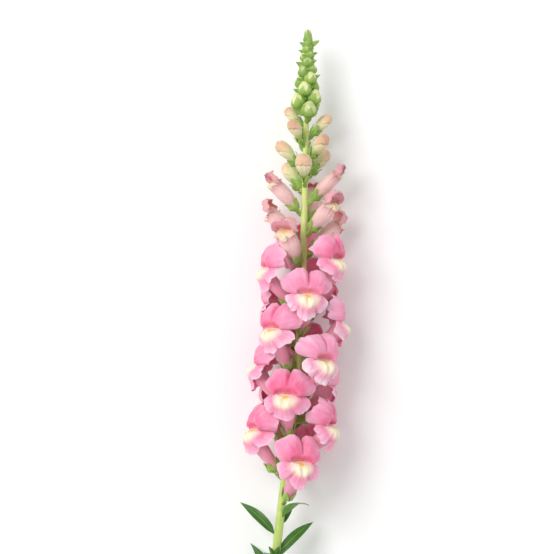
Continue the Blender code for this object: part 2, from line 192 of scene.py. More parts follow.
@dataclass
class Skin:
    """Collects closed lofts and turns them into one mesh with smooth faces and named values."""

    name: str
    points: List[Array] = field(default_factory=list)
    quads: List[Array] = field(default_factory=list)
    caps: List[Array] = field(default_factory=list)
    tris: List[Array] = field(default_factory=list)
    values: Dict[str, List[Array]] = field(default_factory=dict)
    count: int = 0

    def loft(self, rings: Array, **values: Array) -> None:
        """Add a run of closed rings: quads between neighbours and a cap at each end.

        Args:
            rings: Points, shape (rings, columns, 3), in millimetres, already in place.
            **values: Named values, each broadcast to (rings, columns).
        """
        r, c = rings.shape[:2]
        ids = self.count + np.arange(r * c).reshape(r, c)
        a, d = ids[:-1], ids[1:]
        b, e = np.roll(a, -1, 1), np.roll(d, -1, 1)
        self.quads.append(np.stack([a, d, e, b], -1).reshape(-1, 4))
        self.caps.append(ids[0])
        self.caps.append(ids[-1][::-1])
        self.points.append(rings.reshape(-1, 3))
        for key, value in values.items():
            grid = np.broadcast_to(np.asarray(value, float), (r, c)).reshape(-1)
            self.values.setdefault(key, []).append(grid)
        self.count += r * c

    def hairs(self, roots: Array, normals: Array, lengths: Array, lean: Array, radius: float) -> None:
        """Add thin closed spikes: a small triangle at each root drawn out to one point.

        Args:
            roots: Where the hairs stand, shape (hairs, 3), in millimetres.
            normals: Unit direction away from the surface.
            lengths: Length of each hair.
            lean: Sideways lean of each hair's tip, as a share of its length.
            radius: Half width at the root.
        """
        sunk, aside = 0.06, [0.3, 0.5, 0.1]
        first = np.cross(normals, lean + aside)
        first /= np.linalg.norm(first, axis=-1, keepdims=True)
        second = np.cross(normals, first)
        turns = np.array([0.0, 2.0, 4.0]) * np.pi / 3.0
        corners = (np.cos(turns)[:, None] * first[:, None] + np.sin(turns)[:, None] * second[:, None])
        foot = (roots - sunk * normals)[:, None] + radius * corners
        tip = roots + lengths[:, None] * (normals + lean)
        ids = self.count + np.arange(len(roots) * 4).reshape(-1, 4)
        for a, b, c in ((0, 1, 3), (1, 2, 3), (2, 0, 3), (2, 1, 0)):
            self.tris.append(ids[:, [a, b, c]])
        self.points.append(np.concatenate([foot, tip[:, None]], 1).reshape(-1, 3))
        self.values.setdefault("along", []).append(np.tile([0.0, 0.0, 0.0, 1.0], len(roots)))
        self.count += len(roots) * 4

    def build(self, material: bpy.types.Material, slot: str) -> bpy.types.Object:
        """Make the object, dress it and let it ride on the part.

        Args:
            material: Finish of the whole piece.
            slot: Not used.

        Returns:
            The finished object.
        """
        points = (np.concatenate(self.points) + SHIFT) * MM
        faces = self.quads + self.tris
        loops = np.concatenate([f.reshape(-1) for f in faces] + self.caps)
        corners = [np.full(len(f), f.shape[1]) for f in faces]
        sizes = np.concatenate(corners + [[len(c)] for c in self.caps])
        starts = np.concatenate([[0], np.cumsum(sizes)[:-1]])
        mesh = bpy.data.meshes.new(self.name)
        mesh.vertices.add(len(points))
        mesh.vertices.foreach_set("co", points.astype(np.float32).reshape(-1))
        mesh.loops.add(len(loops))
        mesh.loops.foreach_set("vertex_index", loops.astype(np.int32))
        mesh.polygons.add(len(sizes))
        mesh.polygons.foreach_set("loop_start", starts.astype(np.int32))
        mesh.update(calc_edges=True)
        mesh.validate()
        mesh.shade_smooth()
        for key, grids in self.values.items():
            data = mesh.attributes.new(key, "FLOAT", "POINT")
            data.data.foreach_set("value", np.concatenate(grids).astype(np.float32))
        obj = bpy.data.objects.new(self.name, mesh)
        bpy.context.scene.collection.objects.link(obj)
        mesh.materials.append(material)
        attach(obj, "root")
        LOG.info("%s: %d points, %d faces", self.name, len(points), len(sizes))
        return obj


# Finishes

class Graph:
    """Small helper that wires the nodes of one material."""

    def __init__(self, name: str) -> None:
        """Start a material with a fresh shader.

        Args:
            name: Name of the material.
        """
        self.material = bpy.data.materials.new(name)
        self.material.use_nodes = True
        tree = self.material.node_tree
        self.nodes, self.links = tree.nodes, tree.links
        self.shader = self.nodes["Principled BSDF"]

    def put(self, socket: Socket, value: object) -> None:
        """Set a socket to a constant or link it to another socket.

        Args:
            socket: Input to fill.
            value: Number, linear colour, display hex code of a colour, or output socket.
        """
        if isinstance(value, str):
            value = hexed(value)
        if isinstance(value, Socket):
            self.links.new(value, socket)
        elif isinstance(value, tuple) and len(value) == 3 and socket.type == "RGBA":
            socket.default_value = (*value, 1.0)
        else:
            socket.default_value = value

    def dress(self, levels: Dict[str, object]) -> None:
        """Set inputs of the shader by their names."""
        for name, level in levels.items():
            self.put(self.shader.inputs[name], level)

    def node(self, kind: str, inputs: Dict[object, object], out: object = 0, **settings: object) -> Socket:
        """Add one node and fill its inputs.

        Args:
            kind: Blender's name of the node, without its prefix.
            inputs: Values or sockets by the number or name of the input.
            out: Number or name of the output.
            **settings: Settings of the node.

        Returns:
            The output.
        """
        node = self.nodes.new("ShaderNode" + kind)
        for name, setting in settings.items():
            setattr(node, name, setting)
        for key, value in inputs.items():
            self.put(node.inputs[key], value)
        return node.outputs[out]

    def value(self, name: str) -> Socket:
        """Value stored on the mesh under a name."""
        return self.node("Attribute", {}, "Fac", attribute_name=name)

    def math(self, kind: str, a: object, b: object = 0.0) -> Socket:
        """One arithmetic step, called by Blender's name of it."""
        return self.node("Math", {0: a, 1: b}, operation=kind)

    def times(self, a: object, b: object) -> Socket:
        """Product of two values."""
        return self.math("MULTIPLY", a, b)

    def plus(self, a: object, b: object) -> Socket:
        """Sum of two values."""
        return self.math("ADD", a, b)

    def minus(self, a: object, b: object) -> Socket:
        """First value less the second."""
        return self.math("SUBTRACT", a, b)

    def stray(self, noise: object, amount: float) -> Socket:
        """Noise centred on zero, times an amount."""
        return self.times(self.minus(noise, 0.5), amount)

    def span(self, x: object, low: float, high: float, start: float = 0.0, end: float = 1.0) -> Socket:
        """Smooth change from start, where x is low, to end, where it is high, and held beyond them."""
        levels = dict(enumerate((x, low, high, start, end)))
        return self.node("MapRange", levels, interpolation_type="SMOOTHSTEP")

    def mix(self, amount: object, a: object, b: object) -> Socket:
        """Blend of two colours, where the amount is the share of the second."""
        return self.node("Mix", {0: amount, 6: a, 7: b}, 2, data_type="RGBA")

    def noise(self, scale: float, detail: float = 2.0, stretch: Tuple[float, float, float] = (1, 1, 1),
              source: Socket = None) -> Socket:
        """Soft noise over object coordinates, or over another vector.

        Args:
            scale: Waves a metre.
            detail: Octaves.
            stretch: Scale along each axis.
            source: Vector to read instead of object coordinates.

        Returns:
            The noise, about 0.5.
        """
        if source is None:
            source = self.node("TexCoord", {}, "Object")
        spot = self.node("Mapping", {"Vector": source, "Scale": stretch})
        return self.node("TexNoise", {"Vector": spot, "Scale": scale, "Detail": detail}, "Fac")

    def vector(self, x: object, y: object, z: object) -> Socket:
        """Vector from three numbers."""
        return self.node("CombineXYZ", {0: x, 1: y, 2: z})

    def bump(self, height: object, strength: float, depth: float) -> None:
        """Raise the surface by a pattern of heights, where a height of 1 stands for depth metres."""
        raised = self.node("Bump", {"Height": height, "Strength": strength, "Distance": depth})
        self.put(self.shader.inputs["Normal"], raised)


@dataclass(frozen=True)
class PetalFinish:
    """Velvety petal skin: fan veins, a cream palate with its yellow spot and a streaked tube.

    Colours are display hex codes, and the amounts are shares of the full effect.
    """

    name: str
    light: str
    mid: str
    deep: str
    cream: str
    yellow: str
    tube: str
    base: str
    streak: str
    edge: str
    streak_amount: float = 0.35
    edge_amount: float = 0.30
    rough: float = 0.5

    def material(self) -> bpy.types.Material:
        """Build the petal material from its colours.

        Returns:
            The material.
        """
        g = Graph(self.name)
        rho, around, tint = g.value("rho"), g.value("around"), g.value("tint")
        mood, along = g.value("mood"), g.value("along")
        cloud = g.noise(130.0, 3.0)
        # fan veins: thin lines at even angles, wavering, strongest in the middle of a lobe
        waver = g.times(g.noise(90.0, 2.0), 0.09)
        line = g.math("SINE", g.times(g.plus(around, waver), 150.0))
        vein = g.times(g.span(line, 0.35, 1.0), g.span(rho, 0.98, 0.45, 0.15, 1.0))
        depth = g.plus(g.plus(tint, g.stray(cloud, 0.55)), g.stray(mood, 0.30))
        colour = g.mix(g.span(depth, 0.0, 0.55), self.light, self.mid)
        colour = g.mix(g.span(depth, 0.50, 1.15), colour, self.deep)
        colour = g.mix(g.times(vein, 0.19), colour, self.deep)
        # back of the petals, drawn toward the deep pink as painted shade, and the tube
        back = g.value("back")
        # painted shade: the backs, which lie mostly in shade, are deepened toward the deep pink
        colour = g.mix(g.times(back, 0.15), colour, self.deep)
        tube = g.value("tube")
        shade = g.mix(g.span(along, 0.05, 0.45), self.base, self.tube)
        fine = g.noise(1.0, 2.0, (26.0, 2.2, 1.0), g.vector(around, along, mood))
        streak = g.times(g.span(fine, 0.50, 0.68), g.span(along, 0.02, 0.22))
        streak = g.times(streak, g.span(along, 0.95, 0.45))
        shade = g.mix(g.times(streak, self.streak_amount), shade, self.streak)
        colour = g.mix(tube, colour, shade)
        # palate
        ragged = g.stray(g.noise(420.0, 3.0), 0.45)
        flush = g.minus(g.value("cream"), g.times(vein, 0.12))
        cream = g.span(g.plus(flush, ragged), 0.05, 1.0)
        colour = g.mix(g.times(cream, 0.93), colour, self.cream)
        spot = g.span(g.plus(g.value("yellow"), g.times(ragged, 0.6)), 0.35, 0.8)
        colour = g.mix(g.times(spot, 0.9), colour, self.yellow)
        # thin worn edge
        worn = g.plus(rho, g.stray(g.noise(240.0, 2.0), 0.22))
        colour = g.mix(g.times(g.span(worn, 0.88, 1.02), self.edge_amount), colour, self.edge)
        rough = g.span(cloud, 0.3, 0.7, self.rough - 0.08, self.rough + 0.08)
        g.dress({"Base Color": colour, "Roughness": rough, "Subsurface Weight": 0.35,
                 "Subsurface Radius": (1.0, 0.45, 0.45), "Subsurface Scale": 0.0022,
                 "Sheen Weight": 0.25, "Sheen Roughness": 0.45, "Specular IOR Level": 0.35})
        cells = g.plus(g.times(g.noise(2600.0, 2.0), 0.35), g.times(vein, 0.5))
        cells = g.plus(cells, g.times(g.noise(330.0, 3.0), 0.9))
        g.bump(cells, 0.45, 0.0006)
        return g.material


@dataclass(frozen=True)
class GreenFinish:
    """Green skin of stem, leaves, calyxes and buds: base and second colour by a stored value.

    Colours are display hex codes, and vein and stripe are the strengths of those two patterns.
    """

    name: str
    base: str
    second: str
    dark: str
    rib: str
    rough: float = 0.42
    vein: float = 0.0
    stripe: float = 0.0
    pith: Colour = (0.78, 0.83, 0.56)

    def material(self) -> bpy.types.Material:
        """Build the green material from its colours.

        Returns:
            The material.
        """
        g = Graph(self.name)
        along, across, tint, mood = g.value("along"), g.value("across"), g.value("tint"), g.value("mood")
        cloud = g.noise(160.0, 4.0)
        patchy = g.plus(tint, g.stray(cloud, 0.5))
        colour = g.mix(g.span(patchy, 0.1, 0.9), self.base, self.second)
        shadow = g.plus(g.times(g.noise(420.0, 3.0), 0.6), g.times(mood, 0.5))
        colour = g.mix(g.span(shadow, 0.45, 0.95, 0.0, 0.6), colour, self.dark)
        height = g.times(g.noise(1900.0, 2.0), 0.4)
        side = g.math("ABSOLUTE", across)
        if self.vein > 0.0:
            wave = g.minus(g.times(along, 13.0), g.times(side, 1.7))
            wave = g.plus(wave, g.times(g.noise(120.0, 2.0), 0.6))
            line = g.span(g.math("ABSOLUTE", g.math("SINE", g.times(wave, 3.1416))), 0.25, 0.0)
            rib = g.span(side, 0.13, 0.02)
            lines = g.math("MAXIMUM", g.times(line, 0.45), rib)
            colour = g.mix(g.times(lines, self.vein), colour, self.rib)
            height = g.minus(height, g.times(lines, 0.9))
        if self.stripe > 0.0:
            cut = g.value("cut")
            ridge = g.math("SINE", g.times(across, 44.0))
            ridge = g.times(ridge, g.span(cut, 0.6, 0.0))
            streaky = g.times(g.span(ridge, 0.2, 1.0), g.span(g.noise(60.0, 3.0), 0.35, 0.7))
            colour = g.mix(g.times(streaky, self.stripe), colour, self.rib)
            height = g.plus(height, g.times(ridge, 0.35))
            core = g.mix(g.span(g.noise(2600.0, 3.0), 0.3, 0.7, 0.0, 0.35), self.pith, self.second)
            core = g.mix(g.times(g.span(cut, 0.95, 0.75), g.span(cut, 0.3, 0.55)), core, self.dark)
            colour = g.mix(g.span(cut, 0.2, 0.5), colour, core)
        rough = g.span(cloud, 0.3, 0.7, self.rough - 0.07, self.rough + 0.1)
        g.dress({"Base Color": colour, "Roughness": rough, "Subsurface Weight": 0.12,
                 "Subsurface Radius": (0.5, 0.9, 0.25), "Subsurface Scale": 0.0015,
                 "Specular IOR Level": 0.45})
        g.bump(height, 0.4, 0.0004)
        return g.material


@dataclass(frozen=True)
class HairFinish:
    """Pale, slightly clear hairs that brighten towards their tips."""

    name: str
    root: str
    tip: str

    def material(self) -> bpy.types.Material:
        """Build the hair material from its colours.

        Returns:
            The material.
        """
        g = Graph(self.name)
        patch = g.stray(g.noise(300.0, 2.0), 0.6)
        colour = g.mix(g.span(g.plus(g.value("along"), patch), 0.0, 1.0), self.root, self.tip)
        rough = g.span(g.noise(500.0, 2.0), 0.3, 0.7, 0.35, 0.5)
        g.dress({"Base Color": colour, "Roughness": rough, "Subsurface Weight": 0.1,
                 "Subsurface Scale": 0.0004})
        return g.material


# Stem line and placing

@dataclass(frozen=True)
class StemLine:
    """The bent axis of the stem and the ways to carry a shape to it, in millimetres."""

    length: float = 600.0
    end: float = 293.0
    radius_places: Tuple[float, ...] = (-300.0, -30.0, 146.0, 240.0, 296.0)
    radii: Tuple[float, ...] = (3.7, 3.0, 2.5, 1.8, 1.0)
    spike_height: float = 31.5
    rise_end: float = -25.0
    upper_lean: float = 0.02
    lean: float = 0.05
    bend_low: Tuple[float, float] = (-190.0, 60.0)
    bend_high: Tuple[float, float] = (85.0, 45.0)
    soft_height: float = 3.0
    press_depth: float = 2.4
    leaf_height: float = 2.5
    leaf_lie: float = 0.75
    leaf_sink: float = 0.45
    leaf_gap: float = 0.05

    def drift(self, y: Array) -> Array:
        """Sideways place: a straight lean plus two rounded bends.

        Each bend is its width times the log of the cosh of the distance over the width.

        Args:
            y: Place along the stem.

        Returns:
            Sideways distance from the middle plane.
        """
        def ramp(v: Array, width: float) -> Array:
            """Straight both ways from its middle and rounded there."""
            return width * np.log(np.cosh(v / width))
        low, high = self.bend_low, self.bend_high
        bends = ramp(y - low[0], low[1]) - ramp(y - high[0], high[1])
        return self.upper_lean * y + self.lean * bends

    def height(self, y: Array) -> Array:
        """Height of the axis: a smooth step from the surface up to the spike."""
        rise = smooth(y, -self.length / 2.0, self.rise_end)
        return self.radii[0] + (self.spike_height - self.radii[0]) * rise

    def radius(self, y: Array) -> Array:
        """Stem radius, thinning to the tip."""
        return np.interp(y, self.radius_places, self.radii)

    def point(self, y: float) -> Array:
        """Axis point at a place along the stem."""
        return np.array([self.drift(y), y, self.height(y)])

    def frame(self, y: float, turn: float) -> Tuple[Array, Array, Array, Array]:
        """Axis point with the side, up-stem and outward directions at a turn.

        Args:
            y: Place along the stem.
            turn: Degrees round the stem from straight up.

        Returns:
            Point, side, up the stem, outward.
        """
        t = self.point(y + 0.5) - self.point(y - 0.5)
        t /= np.linalg.norm(t)
        a = np.array([0.0, 0.0, 1.0]) - t[2] * t
        a /= np.linalg.norm(a)
        out = a * np.cos(turn * DEG) + np.cross(t, a) * np.sin(turn * DEG)
        return self.point(y), np.cross(t, out), t, out

    def press(self, p: Array) -> Array:
        """Lift what would reach below the surface, where the weight of the stem presses the petals.

        Below the soft height, height is that height times a power of its share between the deepest
        point and it, so that slope and height run on smoothly.

        Args:
            p: Points.

        Returns:
            The points, none below zero.
        """
        z, top, deep = p[..., 2], self.soft_height, self.press_depth
        low = top * np.clip((z + deep) / (top + deep), 0.0, 1.0) ** ((top + deep) / top)
        out = p.copy()
        out[..., 2] = np.where(z < top, low, z)
        return out

    def set_out(self, points: Array, y: float, turn: float, radius: float, scale: float = 1.0,
                tilt: float = 0.0) -> Array:
        """Carry points from a flower's own frame (side, up the stem, outward) to the stem.

        Args:
            points: Points of the flower.
            y: Place along the stem.
            turn: Degrees round the stem.
            radius: Distance of the flower's base from the axis.
            scale: Size of the flower.
            tilt: Degrees of lean towards the stem.

        Returns:
            The points in place.
        """
        c, side, up, out = self.frame(y, turn)
        ct, st = np.cos(tilt * DEG), np.sin(tilt * DEG)
        q = points * scale
        v = q[..., 1] * ct + q[..., 2] * st
        w = -q[..., 1] * st + q[..., 2] * ct
        return self.press(c + q[..., :1] * side + v[..., None] * up + (radius + w)[..., None] * out)

    def set_leaf(self, points: Array, y: float, turn: float, lift: float, reach: float) -> Array:
        """Carry a leaf to the stem; low ones swing sideways and lie along the surface.

        Args:
            points: Leaf points: across, along, upper face.
            y: Place along the stem.
            turn: Degrees round the stem.
            lift: Degrees between leaf and stem.
            reach: How far the leaf stands out.

        Returns:
            The points in place.
        """
        base = self.point(y)
        down = max(np.cos(turn * DEG), -(base[2] - self.leaf_height) / reach)
        turn = np.arccos(down) / DEG * (1.0 if turn > 0.0 else -1.0)
        c, side, up, out = self.frame(y, turn)
        along = np.cos(lift * DEG) * up + np.sin(lift * DEG) * out
        flat = np.cross(along, [0.0, 0.0, 1.0])
        flat /= np.linalg.norm(flat)
        if np.dot(flat, -side) < 0.0:
            flat = -flat
        lie = self.leaf_lie * np.sin(turn * DEG) ** 2
        across = (1.0 - lie) * -side + lie * flat
        across -= np.dot(across, along) * along
        across /= np.linalg.norm(across)
        face_up = np.cross(across, along)
        start = c + out * self.radius(y) * self.leaf_sink
        p = start + points[..., :1] * across + points[..., 1:2] * along + points[..., 2:3] * face_up
        p[..., 2] += np.maximum(0.0, self.leaf_gap - p[..., 2].min(-1, keepdims=True))
        return p


# Flowers

@dataclass(frozen=True)
class PetalForm:
    """Sizes of a two-lipped flower's mouth and five lobes, in millimetres at full size.

    Angles go round the mouth from its upper side, in degrees.
    """

    upper: float = 20.5
    upper_notch: float = 13.0
    sinus: float = 10.0
    side: float = 17.8
    low_notch: float = 14.0
    middle: float = 19.5
    mouth_x: float = 6.0
    mouth_y: float = 0.5
    mouth_up: float = 27.0
    mouth_out: float = 17.5
    palate: float = 8.8
    wave: float = 1.0
    reflex: float = 1.0
    skirt: float = -2.5
    hood: float = 0.0
    fat: float = 0.0
    end: float = 1.0
    roll: float = 1.0
    shut: float = 0.0
    sheet: float = 0.45
    lips_meet: float = 92.0
    side_end: float = 152.0
    knots: Tuple[float, ...] = (0, 23, 46, 69, 92, 107, 122, 137, 152, 166, 180)

    def columns(self, parts: int) -> Array:
        """Angles round the mouth, each span between two knots cut into equal parts.

        Args:
            parts: Parts in each span.

        Returns:
            The angles, in radians.
        """
        knots = np.array(self.knots, float)
        half = np.concatenate([np.linspace(knots[i], knots[i + 1], parts, endpoint=False)
                               for i in range(len(knots) - 1)] + [[180.0]])
        return np.concatenate([half, 360.0 - half[1:-1][::-1]]) * DEG

    def across(self, a: Array, first: float, last: float) -> Array:
        """Place across a lobe, from -1 at its first angle to 1 at its last."""
        return (a - (first + last) / 2.0) / ((last - first) / 2.0)

    def lobe(self, a: Array, first: float, last: float, tip: float, start: float, end: float) -> Array:
        """Reach of one rounded lobe: a flat-topped arch set on a line between its two notches.

        The arch is one less |u| to the power 2.6, all to the power 0.55, with u the place across.

        Args:
            a: Angle from the upper side of the mouth, degrees.
            first: Angle where the lobe begins.
            last: Angle where it ends.
            tip: Reach of its tip.
            start: Reach of the notch before it.
            end: Reach of the notch after it.

        Returns:
            Reach at each angle.
        """
        u = np.clip(self.across(a, first, last), -1.0, 1.0)
        base = start + (end - start) * (u + 1.0) / 2.0
        return base + (tip - base) * (1.0 - np.abs(u) ** 2.6) ** 0.55

    def rim(self, phi: Array) -> Array:
        """Reach of the five lobes round the mouth.

        Args:
            phi: Angle round the mouth.

        Returns:
            Distance of the free edge from the mouth's centre.
        """
        a, meet, low = fold(phi), self.lips_meet, self.side_end
        up = self.lobe(a, 0.0, meet, self.upper, self.upper_notch, self.sinus)
        side = self.lobe(a, meet, low, self.side, self.sinus, self.low_notch)
        mid = self.lobe(a, low, 360.0 - low, self.middle, self.low_notch, self.low_notch)
        return np.where(a < meet, up, np.where(a < low, side, mid))

    def upper_lip(self, x: Array, a: Array, rho: Array) -> Array:
        """Upper lip: it rises from the mouth, hooded while young, and bends back towards its edge.

        Args:
            x: Place to the side.
            a: Angle from the upper side of the mouth, degrees.
            rho: Share of the way from mouth to edge.

        Returns:
            Distance outward.
        """
        centred = np.clip(1.0 - self.across(a, 0.0, self.lips_meet) ** 2, 0.0, 1.0)
        bend = (5.5 * np.clip((rho - 0.3) / 0.7, 0.0, 1.0) ** 1.6
                + 5.0 * (np.abs(x) / 15.0) ** 2 * rho + 2.2 * rho ** 6)
        return (self.mouth_out + 5.5 * smooth(rho, 0.0, 0.28) + 2.6 * centred * rho
                + self.hood * smooth(rho, 0.1, 0.7) - self.reflex * bend)

    def lower_lip(self, x: Array, y: Array, a: Array, rho: Array) -> Array:
        """Lower lip: a slope with the palate's dome, cut by its furrow, and each lobe a little cupped.

        Args:
            x: Place to the side.
            y: Place up the stem.
            a: Angle from the upper side of the mouth, degrees.
            rho: Share of the way from mouth to edge.

        Returns:
            Distance outward.
        """
        up, low = self.mouth_up, self.side_end
        away = np.sqrt((x / 10.0) ** 2 + ((y - up + 6.0) / 6.8) ** 2)
        rib = bell(np.abs(x) - 4.6, 1.1) * smooth(y, up - 17.0, up - 6.0)
        furrow = 1.0 - 0.20 * bell(x, 1.7) * smooth(y, up - 14.0, up - 4.0) - 0.06 * rib
        cup = np.where(a < low, 1.0 - self.across(a, self.lips_meet, low) ** 2,
                       1.0 - self.across(a, low, 360.0 - low) ** 2)
        return (17.0 + 0.30 * (26.0 - y) + self.palate * furrow / (1.0 + (away / 0.95) ** 3.2)
                - 0.016 * np.clip(x * x - 80.0, 0.0, None) + 1.8 * np.clip(cup, 0.0, 1.0) * rho ** 2
                + self.skirt * rho ** 3)

    def face(self, phi: Array, rho: Array, seed: int) -> Array:
        """Outer face of the lips, rho 0 at the shut mouth and 1 at the free edge.

        Side and up follow the rim's reach, varied by slow sines, and the two lips run into each
        other at the mouth's corners. Then come, each a sine or a bell added to the place: ruffles
        that grow towards the edge, fine frills, shallow waves, narrow pleats, two knobs beside the
        furrow, the lips of a young flower folded over its mouth, and the curled upper edge. Close
        to the mouth everything sinks into the throat.

        Args:
            phi: Angle round the mouth.
            rho: Share of the way from mouth to edge.
            seed: Draw of the ruffles.

        Returns:
            Points: side, up the stem, outward.
        """
        a, up = fold(phi), self.mouth_up
        q = phases(seed + Draw.FRILLS, 12)
        vary = 0.965 + 0.030 * np.sin(3 * phi + q[5]) + 0.022 * np.sin(5 * phi + q[6])
        reach = self.rim(phi) * vary
        x = (self.mouth_x * (1.0 - rho) + reach * rho) * np.sin(phi)
        y = up + (self.mouth_y * (1.0 - rho) + reach * rho) * np.cos(phi)
        w = smooth(a, 86.0, 99.0)
        z = self.upper_lip(x, a, rho) * (1.0 - w) + self.lower_lip(x, y, a, rho) * w
        # ruffles
        k = phases(seed, 6)
        edge = self.wave * rho ** 3
        z = z + edge * (0.9 * np.sin(7 * phi + k[0]) + 0.6 * np.sin(12 * phi + k[1])
                        + 0.35 * np.sin(21 * phi + k[2]))
        x = x + edge * 0.5 * np.sin(9 * phi + k[3])
        y = y + edge * 0.5 * np.sin(8 * phi + k[4])
        # frills
        frill = rho ** 5 * (0.55 + 0.45 * np.sin(4 * phi + q[7]))
        z = z + frill * (0.42 * np.sin(29 * phi + q[0]) + 0.24 * np.sin(43 * phi + q[1]))
        pull = frill * (0.30 * np.sin(33 * phi + q[2]) + 0.18 * np.sin(61 * phi + q[3]))
        x, y = x + pull * np.sin(phi), y + pull * np.cos(phi)
        # shallow waves and pleats
        z = z + 0.26 * smooth(rho, 0.25, 0.7) * np.sin(22 * phi + 3.0 * rho + q[4])
        z = z + rho ** 2 * (1.0 * np.sin(2 * phi + q[8]) + 0.8 * np.sin(5 * phi + q[9]))
        swell = 0.55 * smooth(rho, 0.2, 0.8) * np.sin(11 * phi + 5.0 * rho + q[10])
        z = z + swell * np.sin(4 * phi - 6.0 * rho + q[11])
        pleat = bell(np.sin(3.5 * phi + 1.2 * rho + q[6]), 0.16)
        z = z - 0.55 * pleat * smooth(rho, 0.3, 0.7) * (1.0 - 0.5 * rho)
        # knobs
        knob = np.exp(-((np.abs(x) - 3.6) / 2.2) ** 2 - ((y - up + 4.6) / 3.4) ** 2)
        z = z + 0.9 * w * knob * smooth(rho, 0.05, 0.2)
        # lips folded over the mouth
        x = x * (1.0 - 0.14 * self.shut * smooth(rho, 0.2, 1.0))
        droop = 4.0 * (1.0 - w) * smooth(rho, 0.35, 1.0) - 2.4 * w * smooth(rho, 0.4, 1.0)
        y = y - self.shut * droop
        lift = 2.8 * (1.0 - w) * smooth(rho, 0.25, 0.9) - 1.6 * w * smooth(rho, 0.5, 1.0)
        z = z + self.shut * lift
        # curled edge and throat
        curl = smooth(rho, 0.72, 1.0) ** 2 * (1.0 + 0.5 * np.sin(3 * phi + q[10]))
        z = z - self.roll * (1.0 - w) * curl
        throat = 1.0 - smooth(rho, 0.0, 0.07)
        return np.stack([x, y, z + (self.mouth_out - z) * throat], -1)

    def normal(self, phi: Array, rho: Array, seed: int) -> Array:
        """Unit normal of the lips' outer face, from small steps both ways, away from the stem.

        Args:
            phi: Angle round the mouth.
            rho: Share of the way from mouth to edge.
            seed: Draw of the ruffles.

        Returns:
            The normals.
        """
        step = 0.002
        across = self.face(phi + step, rho, seed) - self.face(phi - step, rho, seed)
        along = self.face(phi, np.minimum(rho + step, 1.0), seed) - self.face(phi, rho - step, seed)
        n = np.cross(along, across)
        n /= np.linalg.norm(n, axis=-1, keepdims=True) + 1e-12
        return n * np.sign(n[..., 2:3] + 1e-9)

    def back(self, phi: Array, rho: Array, seed: int) -> Array:
        """Back of the lips: the face moved inwards by the thickness of a petal."""
        return self.face(phi, rho, seed) - self.sheet * self.normal(phi, rho, seed)


OPEN_FORM = PetalForm()
HALF_FORM = PetalForm(upper=14.0, upper_notch=11.0, sinus=9.0, side=11.5, low_notch=9.5, middle=11.5,
                      mouth_up=24.0, palate=6.0, wave=0.8, reflex=0.9, skirt=-1.5, hood=4.0, fat=1.7,
                      end=0.86, roll=0.5)
PALE_FAT = 1.0  # extra girth of a shut flower's tube, mm


def tube_line(s: Array) -> Tuple[Array, Array]:
    """Centre line of a flower's tube, a quadratic curve in (up the stem, outward), and its direction.

    Args:
        s: Share of its length.

    Returns:
        Points and unit directions.
    """
    bend = np.array([[0.0, 0.0], [7.0, 6.5], [16.2, 16.0]])
    one, two = (1.0 - s)[..., None], s[..., None]
    c = one ** 2 * bend[0] + 2.0 * one * two * bend[1] + two ** 2 * bend[2]
    t = 2.0 * one * (bend[1] - bend[0]) + 2.0 * two * (bend[2] - bend[1])
    return c, t / np.linalg.norm(t, axis=-1, keepdims=True)


def round_line(phi: Array, s: Array, wide: Array, deep: Array, back: float = 0.0) -> Array:
    """Oval ring round the tube's centre line.

    Args:
        phi: Angle round the tube.
        s: Share of its length.
        wide: Half width.
        deep: Offset in the plane of the bend, the half depth times the cosine of the angle.
        back: Shift of the ring back along the tube.

    Returns:
        Points: side, up the stem, outward.
    """
    c, t = tube_line(s)
    n = np.stack([t[..., 1], -t[..., 0]], -1)
    c = c - back * t + deep[..., None] * n
    return np.stack([wide * np.sin(phi), c[..., 0], c[..., 1]], -1)


def tube(phi: Array, s: Array, grow: Array = 0.0, back: float = 0.0, fat: float = 0.0) -> Array:
    """Flower tube from its base (s 0) to the lips (s 1), with the small sac low on the outer side.

    Args:
        phi: Angle round the tube.
        s: Share of its length.
        grow: Offset outwards from its skin.
        back: Shift of the whole ring back along the tube.
        fat: Extra girth of the upper half of the tube.

    Returns:
        Points: side, up the stem, outward.
    """
    s = s + 0.0 * phi
    phi = phi + 0.0 * s
    grow = grow + fat * smooth(s, 0.2, 0.62)
    wide = soft(s, [0, 0.12, 0.3, 0.6, 1], [2.4, 3.5, 3.9, 5.1, 7.0]) + grow
    deep = soft(s, [0, 0.12, 0.3, 0.6, 1], [2.4, 3.5, 3.8, 4.4, 5.2]) + grow
    sac = 1.3 * bell(s - 0.14, 0.11) * np.clip(-np.cos(phi), 0.0, 1.0)
    return round_line(phi, s, wide, deep * np.cos(phi) - sac, back)


@dataclass(frozen=True)
class Seat:
    """Place of one flower on the spike."""

    stage: Stage
    y: float
    turn: float
    radius: float
    scale: float
    index: int


@dataclass(frozen=True)
class Tier:
    """Flowers of one stage: their number, rise, distance from the axis and size.

    From the flower numbered even on, each is closer to the axis and smaller than the one before.
    The gap is an extra rise after the last of them.
    """

    stage: Stage
    count: int
    rise: float
    radius: float
    closer: float
    scale: float
    smaller: float
    even: int = 0
    gap: float = 0.0


